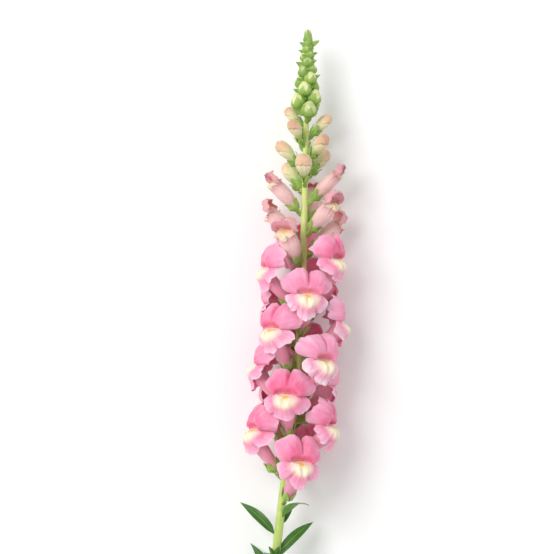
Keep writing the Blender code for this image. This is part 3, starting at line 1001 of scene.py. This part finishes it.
@dataclass(frozen=True)
class Spike:
    """The rule that seats every flower: a golden turn from each to the next, and a rise by stage.

    The rise of the green buds runs from its first value to its second. Their radius and scale are
    each a value and how much it changes towards the tip.
    """

    line: StemLine
    first_turn: float = 20.0
    start: float = -26.0
    tiers: Tuple[Tier, ...] = (Tier(Stage.OPEN, 18, 8.9, 7.0, 0.0, 1.0, 0.015, even=11, gap=3.6),
                               Tier(Stage.HALF, 7, 7.4, 6.3, 0.12, 0.90, 0.020),
                               Tier(Stage.PALE, 9, 5.4, 5.6, 0.18, 0.92, 0.030))
    green_count: int = 25
    green_rise: Tuple[float, float] = (3.0, 1.36)
    green_radius: Tuple[float, float] = (0.2, 1.6)
    green_scale: Tuple[float, float] = (1.14, 0.64)
    last_scale: float = 0.80
    bare_turn: float = 38.0
    bare_low: float = 142.0
    bare_band: float = 12.0
    press_depth: float = 1.3
    depth: float = 27.0
    least: float = 0.86

    def settle(self, y: float, turn: float, radius: float, scale: float) -> Tuple[float, float]:
        """Turn a high flower off the bare stem and shrink a low one to the room under the stem.

        Args:
            y: Place along the stem.
            turn: Degrees round the stem from straight up.
            radius: Distance of the flower's base from the axis.
            scale: Size of the flower.

        Returns:
            The turn and the size that it ends up with.
        """
        bare = self.bare_turn * smooth(y, self.bare_low - self.bare_band, self.bare_low + self.bare_band)
        turn = np.sign(turn) * (abs(turn) + bare * max(0.0, 1.0 - abs(turn) / 90.0))
        down = -np.cos(turn * DEG)
        if down > 0.5:
            room = (self.line.height(y) + self.press_depth) / down - radius
            scale = min(scale, max(room / self.depth, self.least))
        return turn, scale

    def seats(self) -> List[Seat]:
        """Seat every flower, lowest first, and then the green buds up to the tip.

        Returns:
            The seats.
        """
        rows, y = [], self.start
        for tier in self.tiers:
            for i in range(tier.count):
                turn = shut_angle(self.first_turn + GOLDEN * len(rows))
                late = max(0, i - tier.even)
                radius, scale = tier.radius - tier.closer * late, tier.scale - tier.smaller * late
                if tier.stage is not Stage.PALE:
                    turn, scale = self.settle(y, turn, radius, scale)
                rows.append(Seat(tier.stage, y, turn, radius, scale, len(rows)))
                y += tier.rise + (tier.gap if i == tier.count - 1 else 0.0)
        for k in range(self.green_count):
            i = k / (self.green_count - 1.0)
            turn = shut_angle(self.first_turn + GOLDEN * len(rows))
            radius = self.green_radius[0] + self.green_radius[1] * (1.0 - i) ** 2
            scale = self.last_scale if i == 1.0 else self.green_scale[0] - self.green_scale[1] * i
            rows.append(Seat(Stage.GREEN, y, turn, radius, scale, len(rows)))
            y += self.green_rise[0] + (self.green_rise[1] - self.green_rise[0]) * i
        return rows


@dataclass
class Flower:
    """A flower of the spike, one closed skin carried to its seat."""

    line: StemLine

    def grid(self, seat: Seat) -> Tuple[Array, Dict[str, Array]]:
        """Points in the flower's own frame, and the named values that its finish reads."""
        raise NotImplementedError

    def build(self, name: str, node: str, seat: Seat, finish: bpy.types.Material,
              slot: str) -> bpy.types.Object:
        """Make the flower in its seat.

        Args:
            name: Name of the piece.
            node: Solid that it stands for.
            seat: Its place.
            finish: Its material.
            slot: Passed on to the skin, which does not use it.

        Returns:
            The flower.
        """
        own, values = self.grid(seat)
        skin = Skin(name)
        skin.loft(self.line.set_out(own, seat.y, seat.turn, seat.radius, seat.scale), **values)
        obj = skin.build(finish, slot)
        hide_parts(node)
        return obj


@dataclass
class Floret(Flower):
    """Two-lipped flower: tube, back of the lips, free edge and face as a single closed skin."""

    form: PetalForm
    parts: int = 8
    tube_rows: int = 14
    back_rows: int = 12
    face_rows: int = 32

    def join_at(self, phi: Array) -> Array:
        """Where the tube runs into the back of the lips, as rho."""
        return np.interp(fold(phi), [0, 60, 92, 122, 152, 180], [0.34, 0.36, 0.5, 0.58, 0.68, 0.72])

    def rings(self, phi: Array, seed: int) -> List[Tuple[Array, Array, float, float]]:
        """Rings up the tube, out along the back of the lips, over the edge and in to the mouth.

        Args:
            phi: Angles of the columns.
            seed: Draw of the ruffles.

        Returns:
            Points, rho, region (0 tube, 1 back, 2 face) and share of the tube, for each ring.
        """
        f, even = self.form, np.ones_like(phi)
        rings = [(tube(phi, s * even, fat=f.fat), 0.0 * phi, 0.0, s)
                 for s in np.linspace(0.0, f.end, self.tube_rows)]
        neck, join = rings[-1][0], self.join_at(phi)
        hem = f.back(phi, join, seed)
        for t in (0.25, 0.5, 0.75):
            arch = 1.2 * np.sin(np.pi * t) * np.clip(np.cos(phi), 0.0, 1.0)
            ring = neck * (1.0 - t) + hem * t + np.stack([0.0 * phi, arch * 0.6, -arch * 0.5], -1)
            rings.append((ring, join * t, 0.5 * t, 1.0))
        for g in np.linspace(0.0, 1.0, self.back_rows):
            rho = join + (1.0 - join) * g
            rings.append((f.back(phi, rho, seed), rho, 1.0, 1.0))
        edge = f.face(phi, even, seed)
        out = edge - f.face(phi, 0.96 * even, seed)
        out /= np.linalg.norm(out, axis=-1, keepdims=True)
        rings.append((0.5 * (rings[-1][0] + edge) + 0.3 * f.sheet * out, even, 1.5, 1.0))
        for share in 1.0 - np.linspace(0.0, 1.0, self.face_rows) ** 1.15:
            rings.append((f.face(phi, share * even, seed), share * even, 2.0, 1.0))
        return rings

    def grid(self, seat: Seat) -> Tuple[Array, Dict[str, Array]]:
        """Points and values of the whole flower.

        Args:
            seat: The flower's place, whose number draws its ruffles and mood.

        Returns:
            Points in the flower's own frame, and the named values.
        """
        phi = self.form.columns(self.parts)
        rings = self.rings(phi, seat.index + Draw.RUFFLES)
        own, rho, where, along = (np.array(part) for part in zip(*rings))
        return own, dict(along=along[:, None], **self.marks(own, phi, rho, where[:, None], seat))

    def marks(self, own: Array, phi: Array, rho: Array, where: Array, seat: Seat) -> Dict[str, Array]:
        """Values that the finish reads: palate, spot, depth of pink with painted shade in the notches
        between lobes and beside the mouth, tube, and back with painted shade.

        Args:
            own: Points in the flower's own frame.
            phi: Angles of the columns.
            rho: Share of the way from mouth to edge.
            where: 0 on the tube, 1 on the back, 2 on the face.
            seat: The flower's place, whose number draws its mood.

        Returns:
            Named values over the grid.
        """
        up = self.form.mouth_up
        x, y = own[..., 0], own[..., 1]
        a = fold(phi)[None, :] + 0.0 * rho
        face = smooth(where, 1.4, 1.9) + 0.0 * rho
        lower = smooth(a, 80.0, 96.0)
        palate = 1.0 - smooth(np.sqrt((x / 10.5) ** 2 + ((y - up + 3.4) / 9.0) ** 2), 0.30, 1.25)
        spot = np.exp(-(x / 2.6) ** 2 - ((y - up + 1.6) / 1.9) ** 2)
        lines = np.exp(-((np.abs(x) - 1.9) / 0.9) ** 2 - ((y - up + 4.0) / 3.2) ** 2)
        spot = np.maximum(spot, 0.62 * lines)
        # painted shade: the upper lip deepens next to the mouth, where the fold of the throat shades it
        lip = bell(rho, 0.16) * (1.0 - lower)
        tint_up = 0.80 - 0.30 * smooth(rho, 0.45, 1.0)
        tint_low = 0.40 + 0.30 * bell(rho - 0.52, 0.16) - 0.12 * smooth(rho, 0.7, 1.0)
        # painted shade: deeper pink in the notches between the lobes
        notch = (bell(a, 7.0) + bell(a - self.form.side_end, 6.0)
                 + 0.6 * bell(a - self.form.lips_meet, 7.0))
        tint = (tint_up * (1.0 - lower) + tint_low * lower + 0.25 * notch * smooth(rho, 0.3, 0.8)
                + 0.25 * lip)
        return dict(rho=rho, around=a / 180.0, tint=tint, mood=mood_of(seat.index + Draw.PETAL_MOOD),
                    cream=face * lower * palate,
                    yellow=face * lower * spot, tube=1.0 - smooth(where + 0.0 * rho, 0.0, 0.6),
                    back=smooth(where + 0.0 * rho, 0.0, 0.8) * (1.0 - face))


@dataclass
class PaleBud(Flower):
    """Shut flower: a bent club with the upper lip folded over the lower one."""

    columns: int = 76
    rows: int = 60
    stretch: float = 1.12
    depth: float = 0.92

    def hem(self, a: Array) -> Array:
        """Edge of the folded upper lip: two short lobes on the outer side, sweeping down the flanks.

        Args:
            a: Angle from the side next to the stem's tip, degrees.

        Returns:
            Place of the edge as a share of the bud's length.
        """
        b = 180.0 - a
        return 0.82 - 0.05 * bell(b - 24.0, 14.0) - 0.36 * smooth(b, 20.0, 130.0)

    def shape(self, phi: Array, s: Array, seed: int) -> Array:
        """Ovals along the tube's line whose radius swells to a fist, creased where the lips meet.

        Args:
            phi: Angle round the bud.
            s: Share of its length.
            seed: Draw of its wrinkles.

        Returns:
            Points: side, up the stem, outward.
        """
        r = close(s, 0.07) * soft(s, [0, 0.06, 0.16, 0.35, 0.5, 0.65, 0.8, 0.92, 1],
                                  [1.3, 2.0, 3.0, 4.1, 5.6, 6.5, 6.2, 4.9, 3.4])
        a = fold(phi)
        hem = self.hem(a)
        crease = bell(s - hem + 0.012, 0.020) * smooth(a, 30.0, 75.0)
        lap = smooth(s - hem, -0.004, 0.018) * (1.0 - smooth(s, 0.86, 0.98)) * smooth(a, 20.0, 70.0)
        ridge = bell(a, 9.0) * smooth(s, 0.45, 0.75)
        cleft = bell(180.0 - a, 7.0) * smooth(s, 0.30, 0.45)
        cleft = cleft * (1.0 - smooth(s - hem, -0.03, 0.02))
        k = phases(seed, 3)
        cleft = cleft + 0.45 * bell(180.0 - a, 6.0) * smooth(s - hem, 0.0, 0.03)
        wrinkle = 0.015 * np.sin(9 * phi + k[0] + 5.0 * s) + 0.010 * np.sin(17 * phi + k[1] - 4.0 * s)
        r = r * (1.0 - 0.10 * crease + 0.025 * lap - 0.05 * ridge - 0.10 * cleft
                 + wrinkle * smooth(s, 0.1, 0.4))
        return round_line(phi, self.stretch * s, r, self.depth * r * np.cos(phi))

    def grid(self, seat: Seat) -> Tuple[Array, Dict[str, Array]]:
        """Points and values of the whole bud, its tube greener, its tip darker and its fold line darker as
        painted shade.

        Args:
            seat: The bud's place, whose number draws its wrinkles and mood.

        Returns:
            Points in the bud's own frame, and the named values.
        """
        phi, s = round_grid(self.columns, crowded(0.02, 0.98, self.rows))
        a = fold(phi)
        over = s - self.hem(a)
        # painted shade: a dark line in the crease under the folded hem
        crease = bell(over + 0.010, 0.022) * smooth(a, 30.0, 75.0)
        tint = 0.02 + 0.75 * crease + 0.26 * smooth(over, -0.02, 0.03) + 0.42 * smooth(s, 0.62, 1.0)
        return self.shape(phi, s, seat.index), dict(
            rho=0.3 + 0.4 * s, around=a / 180.0, tint=tint, mood=mood_of(seat.index + Draw.PETAL_MOOD),
            cream=0.0, yellow=0.0, tube=1.0 - smooth(s, 0.38, 0.80), back=0.0, along=s * 0.8)


@dataclass(frozen=True)
class Blade:
    """One leaf or bract: its place on the stem and its sizes, in millimetres and degrees."""

    y: float
    turn: float
    lift: float
    length: float
    width: float
    arch: float
    reach: float
    thick: float
    rows: int
    half: int
    seed: int


# Finishes of the green pieces, in the order in which they are made
GREEN_SKINS = (
    GreenFinish("stem_skin", base="A8C656", second="E0E996", dark="86A846", rib="CFE294", stripe=0.25),
    GreenFinish("calyx_skin", base="86B244", second="B4D06C", dark="5E8C30", rib="C6DC88", rough=0.5,
                vein=0.3),
    GreenFinish("bud_skin", base="8CB048", second="E6E8AC", dark="648E34", rib="D2E29C", rough=0.5,
                vein=0.2),
    GreenFinish("leaf_skin", base="35661F", second="64943E", dark="1F4416", rib="86AE58", rough=0.36,
                vein=0.55),
    GreenFinish("bract_skin", base="7BA640", second="9CC05A", dark="4F7F2A", rib="B5D080", rough=0.45,
                vein=0.4),
    HairFinish("hair_skin", root="D8E6A6", tip="F2F5DA"),
)


@dataclass
class GreenParts:
    """Everything green: bent stem, calyxes on their stalks, tip buds with bracts, leaves, shoots.

    Sizes are in millimetres and turns in degrees. Of two lengths or widths of the leaves, the first
    is that of the lowest leaf and the second how much less the highest has.
    """

    line: StemLine
    stem_columns: int = 56
    stem_rows: int = 340
    calyx_columns: int = 80
    bud_columns: int = 50
    bud_rows: int = 28
    bud_radius: float = 4.9
    bud_tilt: float = 40.0
    bud_tilt_span: Tuple[float, float] = (225.0, 292.0)
    last_radius: float = 3.9
    last_length: float = 23.0
    sepal_notch: float = 0.10
    sepal_rise: float = 0.34
    leaf_count: int = 19
    leaf_span: Tuple[float, float] = (-262.0, -42.0)
    leaf_turn: float = 75.0
    leaf_lift: float = 44.0
    leaf_length: Tuple[float, float] = (58.0, 22.0)
    leaf_width: Tuple[float, float] = (9.5, 2.4)
    leaf_arch: float = 0.30
    shoot_count: int = 5
    shoot_leaves: int = 4
    shoot_span: Tuple[float, float] = (-150.0, -46.0)
    shoot_turn: float = -40.0
    shoot_length: float = 19.0
    shoot_width: float = 4.6
    calyx_hairs: int = 11000
    bud_hairs: int = 6500
    hair_length: Tuple[float, float] = (0.3, 0.75)
    hair_lean: float = 0.22
    hair_radius: float = 0.035

    def stem(self, skin: Skin) -> None:
        """Stem: circles carried along the bent axis, with faint ridges and a dished cut end.

        Args:
            skin: Mesh that takes it.
        """
        phi = np.linspace(0.0, TURN, self.stem_columns, endpoint=False)
        ys = np.linspace(-self.line.length / 2.0, self.line.end, self.stem_rows)
        rings = []
        k = phases(Draw.STEM, 4)
        for y in ys:
            c, side, _, out = self.line.frame(y, 0.0)
            ridges = (0.985 + 0.018 * np.sin(5 * phi + k[0] + 0.004 * y)
                      + 0.010 * np.sin(11 * phi + k[1]) + 0.008 * np.sin(0.09 * y + k[2]))
            r = (self.line.radius(y) * ridges)[:, None]
            rings.append(c - r * np.sin(phi)[:, None] * side + r * np.cos(phi)[:, None] * out)
        c, _, up, _ = self.line.frame(ys[0], 0.0)
        dish = ((0.04, 0.30), (0.45, 0.28), (0.72, 0.22), (0.84, 0.12), (0.96, -0.04))
        end = [c + (rings[0] - c) * share + up * sink for share, sink in dish]
        t = np.concatenate([np.zeros(len(end)), (ys - ys[0]) / (ys[-1] - ys[0])])[:, None]
        cut = np.concatenate([[1.0, 1.0, 0.9, 0.6, 0.2], np.zeros(len(ys))])[:, None]
        skin.loft(np.array(end + rings), along=t * 20.0, across=phi[None, :] / np.pi,
                  tint=0.15 + 0.7 * t, mood=0.3, cut=cut)

    def calyx(self, skin: Skin, seat: Seat) -> None:
        """Stalk widening into a cup of five sepals, with both sides of each sepal.

        The rings are grown from the skin of the flower's tube, and the rim is a pointed arch in each
        fifth.

        Args:
            skin: Mesh that takes it.
            seat: The flower's place.
        """
        own = seat.scale * (0.97 if seat.stage is Stage.PALE else 1.0)
        fat = {Stage.OPEN: OPEN_FORM.fat, Stage.HALF: HALF_FORM.fat, Stage.PALE: PALE_FAT}[seat.stage]
        phi = np.linspace(0.0, TURN, self.calyx_columns, endpoint=False)
        base, u = np.zeros_like(phi), across_sepal(phi)
        k = np.random.default_rng(seat.index + Draw.SEPALS).uniform(-1.0, 1.0, 5)
        tip = self.sepal_notch + self.sepal_rise * (1.0 - u ** 1.4) ** 0.8
        tip = tip * (1.0 + 0.10 * np.interp(phi / DEG, np.arange(6) * 72.0, np.append(k, k[0])))
        start = [0.0, -3.6, 1.3 - seat.radius / own]
        root = tube(phi, base, -1.6, 1.7) * [1.0, 0.75, 1.0] + start
        neck = tube(phi, base, -1.25, 1.5)
        keel = 0.35 * bell(u, 0.18)
        rings = [(root * (1.0 - t) + neck * t, 0.75 + base) for t in np.linspace(0.0, 1.0, 7)]
        rings += [(tube(phi, base, grow, back), 0.6 + base)
                  for grow, back in ((-0.55, 1.25), (0.25, 0.85), (0.75, 0.3))]
        for t in np.linspace(0.06, 1.0, 9):
            flare = SEAT_GAP + 0.62 + keel * (1.0 - t) + 0.55 * t * t
            rings.append((tube(phi, 0.01 + (tip - 0.01) * t, flare, fat=fat),
                          0.45 + 0.35 * t - 0.3 * (1.0 - u)))
        for t in np.linspace(0.97, 0.06, 6):
            inner = tube(phi, 0.01 + (tip - 0.01) * t, SEAT_GAP + 0.1 + 0.5 * t * t, fat=fat)
            rings.append((inner, 0.7 + base))
        rings.append((tube(phi, base, SEAT_GAP - 0.1, SEAT_GAP), 0.7 + base))
        points, tint = (np.array(part) for part in zip(*rings))
        along = np.linspace(0.0, 1.0, len(rings))[:, None]
        skin.loft(self.line.set_out(points, seat.y, seat.turn, seat.radius, own), along=along,
                  across=(u * 2.0 - 1.0)[None, :], tint=tint, mood=mood_of(seat.index + Draw.GREEN_MOOD),
                  downy=smooth(along, 0.02, 0.2) * (along < 0.70))

    def tip_bud(self, skin: Skin, seat: Seat, last: bool) -> None:
        """Green bud: an egg whose five sepals meet in grooves, drawn to a pale point.

        Args:
            skin: Mesh that takes it.
            seat: Its place.
            last: The slender one that ends the stem.
        """
        phi, s = round_grid(self.bud_columns, crowded(0.015, 0.985, self.bud_rows))
        u = across_sepal(phi + 0.7 * s)
        groove = bell(1.0 - u, 0.16)
        point = (0.97 - 0.16 * u ** 1.4) if last else (0.88 - 0.32 * u ** 1.4)
        bare = smooth(s, point - 0.015, point + 0.015)
        lapped = smooth(u, 0.70, 0.98) * smooth(s, 0.2, 0.45) * (1.0 - bare)
        keel = bell(u, 0.14) * smooth(s, 0.1, 0.3) * (1.0 - bare)
        ridges = 1.05 - 0.15 * groove * smooth(s, 0.12, 0.35) + 0.035 * (lapped + keel) - 0.08 * bare
        if last:
            r = self.last_radius * ridges * close(s, 0.08)
            r = r * soft(s, [0, 0.15, 0.4, 0.7, 0.9, 1], [0.8, 1.0, 1.0, 0.92, 0.7, 0.5])
            up, out, lean, tilt = self.last_length * (s - 0.5), 1.0 - 1.6 * s, 0.0, 0.0
        else:
            r = self.bud_radius * ridges * close(s, 0.04)
            r = r * soft(s, [0, 0.1, 0.18, 0.25, 0.35, 0.45, 0.55, 0.65, 0.75, 0.85, 0.95, 1],
                         [0.3, 0.42, 0.54, 0.70, 0.88, 1.0, 1.0, 0.94, 0.80, 0.60, 0.40, 0.3])
            up, out, lean = 6.4 * s + 2.8 * s * s, 10.9 * s - 3.1 * s * s, 0.75
            tilt = self.bud_tilt * smooth(seat.y, *self.bud_tilt_span)
        own = np.stack([r * np.sin(phi), up + r * np.cos(phi) * np.sin(lean),
                        out - r * np.cos(phi) * np.cos(lean)], -1)
        tint = (0.10 + 0.30 * smooth(s, 0.4, 0.9) + 0.60 * bare - 0.30 * groove * (1.0 - bare)
                + 0.25 * lapped)
        skin.loft(self.line.set_out(own, seat.y, seat.turn, seat.radius, seat.scale, tilt), along=s,
                  across=u * 2.0 - 1.0, tint=tint, mood=mood_of(seat.index + Draw.GREEN_MOOD),
                  downy=smooth(s, 0.15, 0.35))

    def leaf(self, skin: Skin, blade: Blade) -> None:
        """Leaf: outline swept along its arched midrib, creased at the rib, edges gently waved.

        Args:
            skin: Mesh that takes it.
            blade: Its place and sizes.
        """
        b = blade
        s = np.linspace(0.0, 1.0, b.rows)[:, None]
        upper = np.linspace(-1.0, 1.0, b.half)
        u = np.concatenate([upper, upper[::-1][1:-1]])[None, :]
        sign = np.concatenate([-np.ones(b.half), np.ones(b.half - 2)])
        sign[0] = sign[b.half - 1] = 0.0
        outline = np.sin(np.pi * np.clip(s, 0.0, 1.0) ** 0.85) ** 0.85
        outline = np.maximum(outline, 0.17 * (1.0 - s) + 0.03) * (0.30 + 0.70 * smooth(s, 0.0, 0.22))
        k = phases(b.seed, 4)
        wide = 0.5 * b.width * outline
        wave = 0.10 * b.width * np.abs(u) ** 2 * outline * np.sin(9.0 * s + k[0] + 1.6 * np.sign(u))
        z = b.arch * b.length * (0.8 * s - 1.6 * s ** 2) + 0.16 * wide * u * u
        z = z + 0.10 * wide * np.abs(u) + wave * 0.6
        body = 0.5 * b.thick * (1.15 - 0.5 * s) * (0.30 + 0.70 * bell(u, 0.16))
        z = z + sign[None, :] * body * (1.0 - 0.5 * u ** 4)
        own = np.stack([wide * u, b.length * s + 0.0 * u, z], -1)
        skin.loft(self.line.set_leaf(own, b.y, b.turn, b.lift, b.reach), along=s, across=u + 0.0 * s,
                  tint=0.25 + 0.55 * (sign[None, :] < 0.0) + 0.0 * s,
                  mood=mood_of(b.seed + Draw.LEAF_MOOD))

    def leaves(self, skin: Skin) -> None:
        """Narrow leaves up the bare stem in a golden spiral, smaller towards the spike.

        Args:
            skin: Mesh that takes them.
        """
        draw = np.random.default_rng(Draw.LEAVES)
        low, high = self.leaf_span
        for k in range(self.leaf_count):
            i = k / (self.leaf_count - 1.0)
            y = low + (high - low) * i + draw.uniform(-2.0, 2.0)
            turn = shut_angle(self.leaf_turn + GOLDEN * k + draw.uniform(-12.0, 12.0))
            lift = self.leaf_lift + draw.uniform(-7.0, 9.0)
            length = self.leaf_length[0] - self.leaf_length[1] * i + draw.uniform(-4.0, 4.0)
            width = self.leaf_width[0] - self.leaf_width[1] * i + draw.uniform(-0.6, 0.6)
            arch = self.leaf_arch + draw.uniform(-0.08, 0.10)
            self.leaf(skin, Blade(y, turn, lift, length, width, arch, reach=0.75 * length, thick=1.0,
                                  rows=48, half=19, seed=Draw.LEAF + k))

    def shoots(self, skin: Skin) -> None:
        """Small leafy shoots in the axils under the spike, each a fan of leaflets.

        Args:
            skin: Mesh that takes them.
        """
        draw = np.random.default_rng(Draw.SHOOTS)
        low, high = self.shoot_span
        for k in range(self.shoot_count):
            y = low + (high - low) * k / (self.shoot_count - 1.0)
            turn = shut_angle(self.shoot_turn + GOLDEN * k)
            for j in range(self.shoot_leaves):
                side = j - (self.shoot_leaves - 1) / 2.0
                at = shut_angle(turn + 26.0 * side + draw.uniform(-8.0, 8.0))
                lift = 30.0 + 12.0 * (j % 3) + draw.uniform(-5.0, 5.0)
                length = self.shoot_length - 2.2 * abs(side) + draw.uniform(-2.0, 2.0)
                width = self.shoot_width + draw.uniform(-0.4, 0.4)
                self.leaf(skin, Blade(y + 1.6 * (j % 2), at, lift, length, width, 0.22,
                                      reach=0.75 * length, thick=0.9, rows=34, half=11,
                                      seed=Draw.SHOOT + 10 * k + j))

    def bracts(self, skin: Skin, seats: Sequence[Seat]) -> None:
        """Small pointed leaf under every flower and every tip bud.

        Args:
            skin: Mesh that takes them.
            seats: The spike's seats.
        """
        for seat in seats:
            own = min(seat.scale, 1.0)
            length, width, lift, low = 9.0 * own, 3.4 * own, 50.0, 7.5 * own
            if seat.stage is Stage.GREEN:
                length, width, lift, low = 8.5 * own + 3.0, 3.4 * own + 1.2, 54.0, 5.0 * own
            self.leaf(skin, Blade(seat.y - low, seat.turn, lift, length, width, 0.25, reach=5.0,
                                  thick=0.8, rows=18, half=9, seed=Draw.BRACT + seat.index))

    def down(self, skin: Skin, source: Skin, count: int, seed: int) -> None:
        """Short fine hairs on a finished skin, spread by area over the faces marked as downy.

        Args:
            skin: Mesh that takes them.
            source: Skin that they stand on.
            count: Number of hairs.
            seed: Draw of their places.
        """
        draw = np.random.default_rng(seed)
        p, quads = np.concatenate(source.points), np.concatenate(source.quads)
        downy = np.concatenate(source.values["downy"])[quads].min(-1)
        normals = np.cross(p[quads[:, 2]] - p[quads[:, 0]], p[quads[:, 3]] - p[quads[:, 1]])
        area = np.linalg.norm(normals, axis=-1)
        weight = area * downy * (area > 1e-6)
        pick = draw.choice(len(quads), count, p=weight / weight.sum())
        corners, share = p[quads[pick]], draw.uniform(0.0, 1.0, (2, count, 1))
        first = corners[:, 0] * (1.0 - share[0]) + corners[:, 1] * share[0]
        second = corners[:, 3] * (1.0 - share[0]) + corners[:, 2] * share[0]
        roots = first * (1.0 - share[1]) + second * share[1]
        lengths = draw.uniform(*self.hair_length, count)
        lean = draw.normal(0.0, self.hair_lean, (count, 3)) + [0.0, 0.2, 0.0]
        skin.hairs(roots, normals[pick] / area[pick, None], lengths, lean, self.hair_radius)

    def build(self, seats: Sequence[Seat]) -> List[bpy.types.Object]:
        """Make every green piece.

        Args:
            seats: The spike's seats.

        Returns:
            The pieces, the stem first.
        """
        skins = [Skin(name) for name in ("stem", "calyxes", "tip_buds", "leaves", "bracts", "hairs")]
        stem, cups, buds, leaves, bracts, hairs = skins
        self.stem(stem)
        for seat in seats:
            if seat.stage is Stage.GREEN:
                self.tip_bud(buds, seat, seat is seats[-1])
            else:
                self.calyx(cups, seat)
        self.leaves(leaves)
        self.shoots(leaves)
        self.bracts(bracts, seats)
        self.down(hairs, cups, self.calyx_hairs, Draw.CALYX_HAIRS)
        self.down(hairs, buds, self.bud_hairs, Draw.BUD_HAIRS)
        made = [skin.build(finish.material(), "green") for skin, finish in zip(skins, GREEN_SKINS)]
        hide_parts("leafy_stem")
        return made


# Surroundings

@dataclass(frozen=True)
class Lamp:
    """Round area lamp: place and size in metres, power in watts."""

    name: str
    place: Tuple[float, float, float]
    size: float
    power: float


@dataclass(frozen=True)
class Studio:
    """Plain pale floor, soft light from above and a camera that looks straight down.

    Lengths are in metres, but the sensor is in millimetres and the picture and its tip in pixels.
    """

    floor_side: float = 6.0
    floor_dark: Colour = (0.94, 0.94, 0.94)
    floor_light: Colour = (0.97, 0.97, 0.97)
    sky: float = 0.66
    lamps: Tuple[Lamp, ...] = (Lamp("key", (-1.3, 1.0, 2.3), 1.6, 46.0),
                               Lamp("fill", (1.7, -0.8, 2.0), 2.2, 4.0))
    lit_point: Tuple[float, float, float] = (0.0, 0.12, 0.03)
    reach: float = 1.8
    axis_height: float = 0.03
    sensor: float = 36.0
    pixel: float = 0.0007
    picture: float = 554.0
    tip_pixel: Tuple[float, float] = (308.0, 30.0)

    def floor(self) -> None:
        """Pale floor under the stem, slightly uneven in tone."""
        side = self.floor_side
        corners = [(-side, -side, 0.0), (side, -side, 0.0), (side, side, 0.0), (-side, side, 0.0)]
        mesh = bpy.data.meshes.new("floor")
        mesh.from_pydata(corners, [], [(0, 1, 2, 3)])
        obj = bpy.data.objects.new("floor", mesh)
        bpy.context.scene.collection.objects.link(obj)
        g = Graph("floor_paint")
        tone = g.mix(g.span(g.noise(3.0, 2.0), 0.3, 0.7), self.floor_dark, self.floor_light)
        g.dress({"Base Color": tone, "Roughness": 0.9})
        mesh.materials.append(g.material)

    def light(self) -> None:
        """Bright even sky, with a broad key lamp from the upper left and a weaker fill lamp."""
        bpy.context.scene.view_settings.view_transform = "Standard"
        world = bpy.data.worlds.new("sky")
        bpy.context.scene.world = world
        world.use_nodes = True
        back = world.node_tree.nodes["Background"]
        back.inputs["Color"].default_value = (1.0, 1.0, 1.0, 1.0)
        back.inputs["Strength"].default_value = self.sky
        for lamp in self.lamps:
            data = bpy.data.lights.new(lamp.name, "AREA")
            data.shape = "DISK"
            data.size = lamp.size
            data.energy = lamp.power
            obj = bpy.data.objects.new(lamp.name, data)
            bpy.context.scene.collection.objects.link(obj)
            obj.location = lamp.place
            aim = np.array(self.lit_point) - np.array(lamp.place)
            lean = np.arccos(-aim[2] / np.linalg.norm(aim))
            obj.rotation_euler = (lean, 0.0, np.arctan2(-aim[0], aim[1]))

    def camera(self, tip: Array) -> None:
        """Camera above the spike, its frame set so that the tip falls where the photograph has it.

        Args:
            tip: Flower tip in metres.
        """
        data = bpy.data.cameras.new("camera")
        data.sensor_fit = "HORIZONTAL"
        data.sensor_width = self.sensor
        data.lens = self.sensor * self.reach / (self.picture * self.pixel)
        obj = bpy.data.objects.new("camera", data)
        bpy.context.scene.collection.objects.link(obj)
        right = self.tip_pixel[0] - self.picture / 2.0
        above = self.picture / 2.0 - self.tip_pixel[1]
        obj.location = (tip[0] - right * self.pixel, tip[1] - above * self.pixel,
                        self.reach + self.axis_height)
        bpy.context.scene.camera = obj


OPEN_PETAL = PetalFinish(
    "open_petal", light="FFE0EA", mid="FFA5C4", deep="F0608F", cream="FFF3D6", yellow="FCD43A",
    tube="F9A6BE", base="F4DCC2", streak="B8465E", edge="FFE0EA")
DUSTY_PETAL = PetalFinish(
    "dusty_petal", light="F9DAD6", mid="EDADB3", deep="D27C8C", cream="F6E0BE", yellow="F0CC5A",
    tube="F5CDC9", base="E4E0AC", streak="B27470", edge="CF9A78", edge_amount=0.55)
PALE_PETAL = PetalFinish(
    "pale_petal", light="F1EBC2", mid="E8C6A2", deep="BE866C", cream="F2E2BC", yellow="E9D27A",
    tube="E6E6B2", base="C4D488", streak="BE9670", edge="C99A74", streak_amount=0.30, edge_amount=0.2)


def dress_flowers(line: StemLine, spike: Spike, seats: Sequence[Seat]) -> None:
    """Make every open, half-open and shut flower, lowest first.

    Args:
        line: The stem that they sit on.
        spike: The rule that seated them.
        seats: Their seats.
    """
    open_skin, half_skin, pale_skin = (f.material() for f in (OPEN_PETAL, DUSTY_PETAL, PALE_PETAL))
    for seat in seats:
        number = "%02d" % (seat.index + 1)
        if seat.stage is Stage.OPEN:
            Floret(line, OPEN_FORM).build("bloom_" + number, "open_floret_" + number, seat,
                                          open_skin, "open_petal")
        elif seat.stage is Stage.HALF:
            form = replace(HALF_FORM, shut=0.55 + 0.10 * (seat.index - spike.tiers[0].count))
            Floret(line, form, parts=6, tube_rows=12, back_rows=10, face_rows=26).build(
                "half_bloom_" + number, "half_open_floret_" + number, seat, half_skin, "dusty_petal")
        elif seat.stage is Stage.PALE:
            PaleBud(line).build("shut_bloom_" + number, "pale_bud_" + number, seat, pale_skin,
                                "pale_petal")


def main() -> None:
    """Load the solids, dress every one of them and set up the studio."""
    logging.basicConfig(level=logging.INFO, format="%(name)s %(message)s")
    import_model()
    line = StemLine()
    spike = Spike(line)
    seats = spike.seats()
    dress_flowers(line, spike, seats)
    green = GreenParts(line).build(seats)
    LOG.info("%d seats filled, %d green pieces", len(seats), len(green))
    studio = Studio()
    studio.floor()
    studio.light()
    tip_y = line.length / 2.0
    studio.camera((np.array([line.drift(tip_y), tip_y, TIP_HEIGHT]) + SHIFT) * MM)


if __name__ == "__main__":
    main()
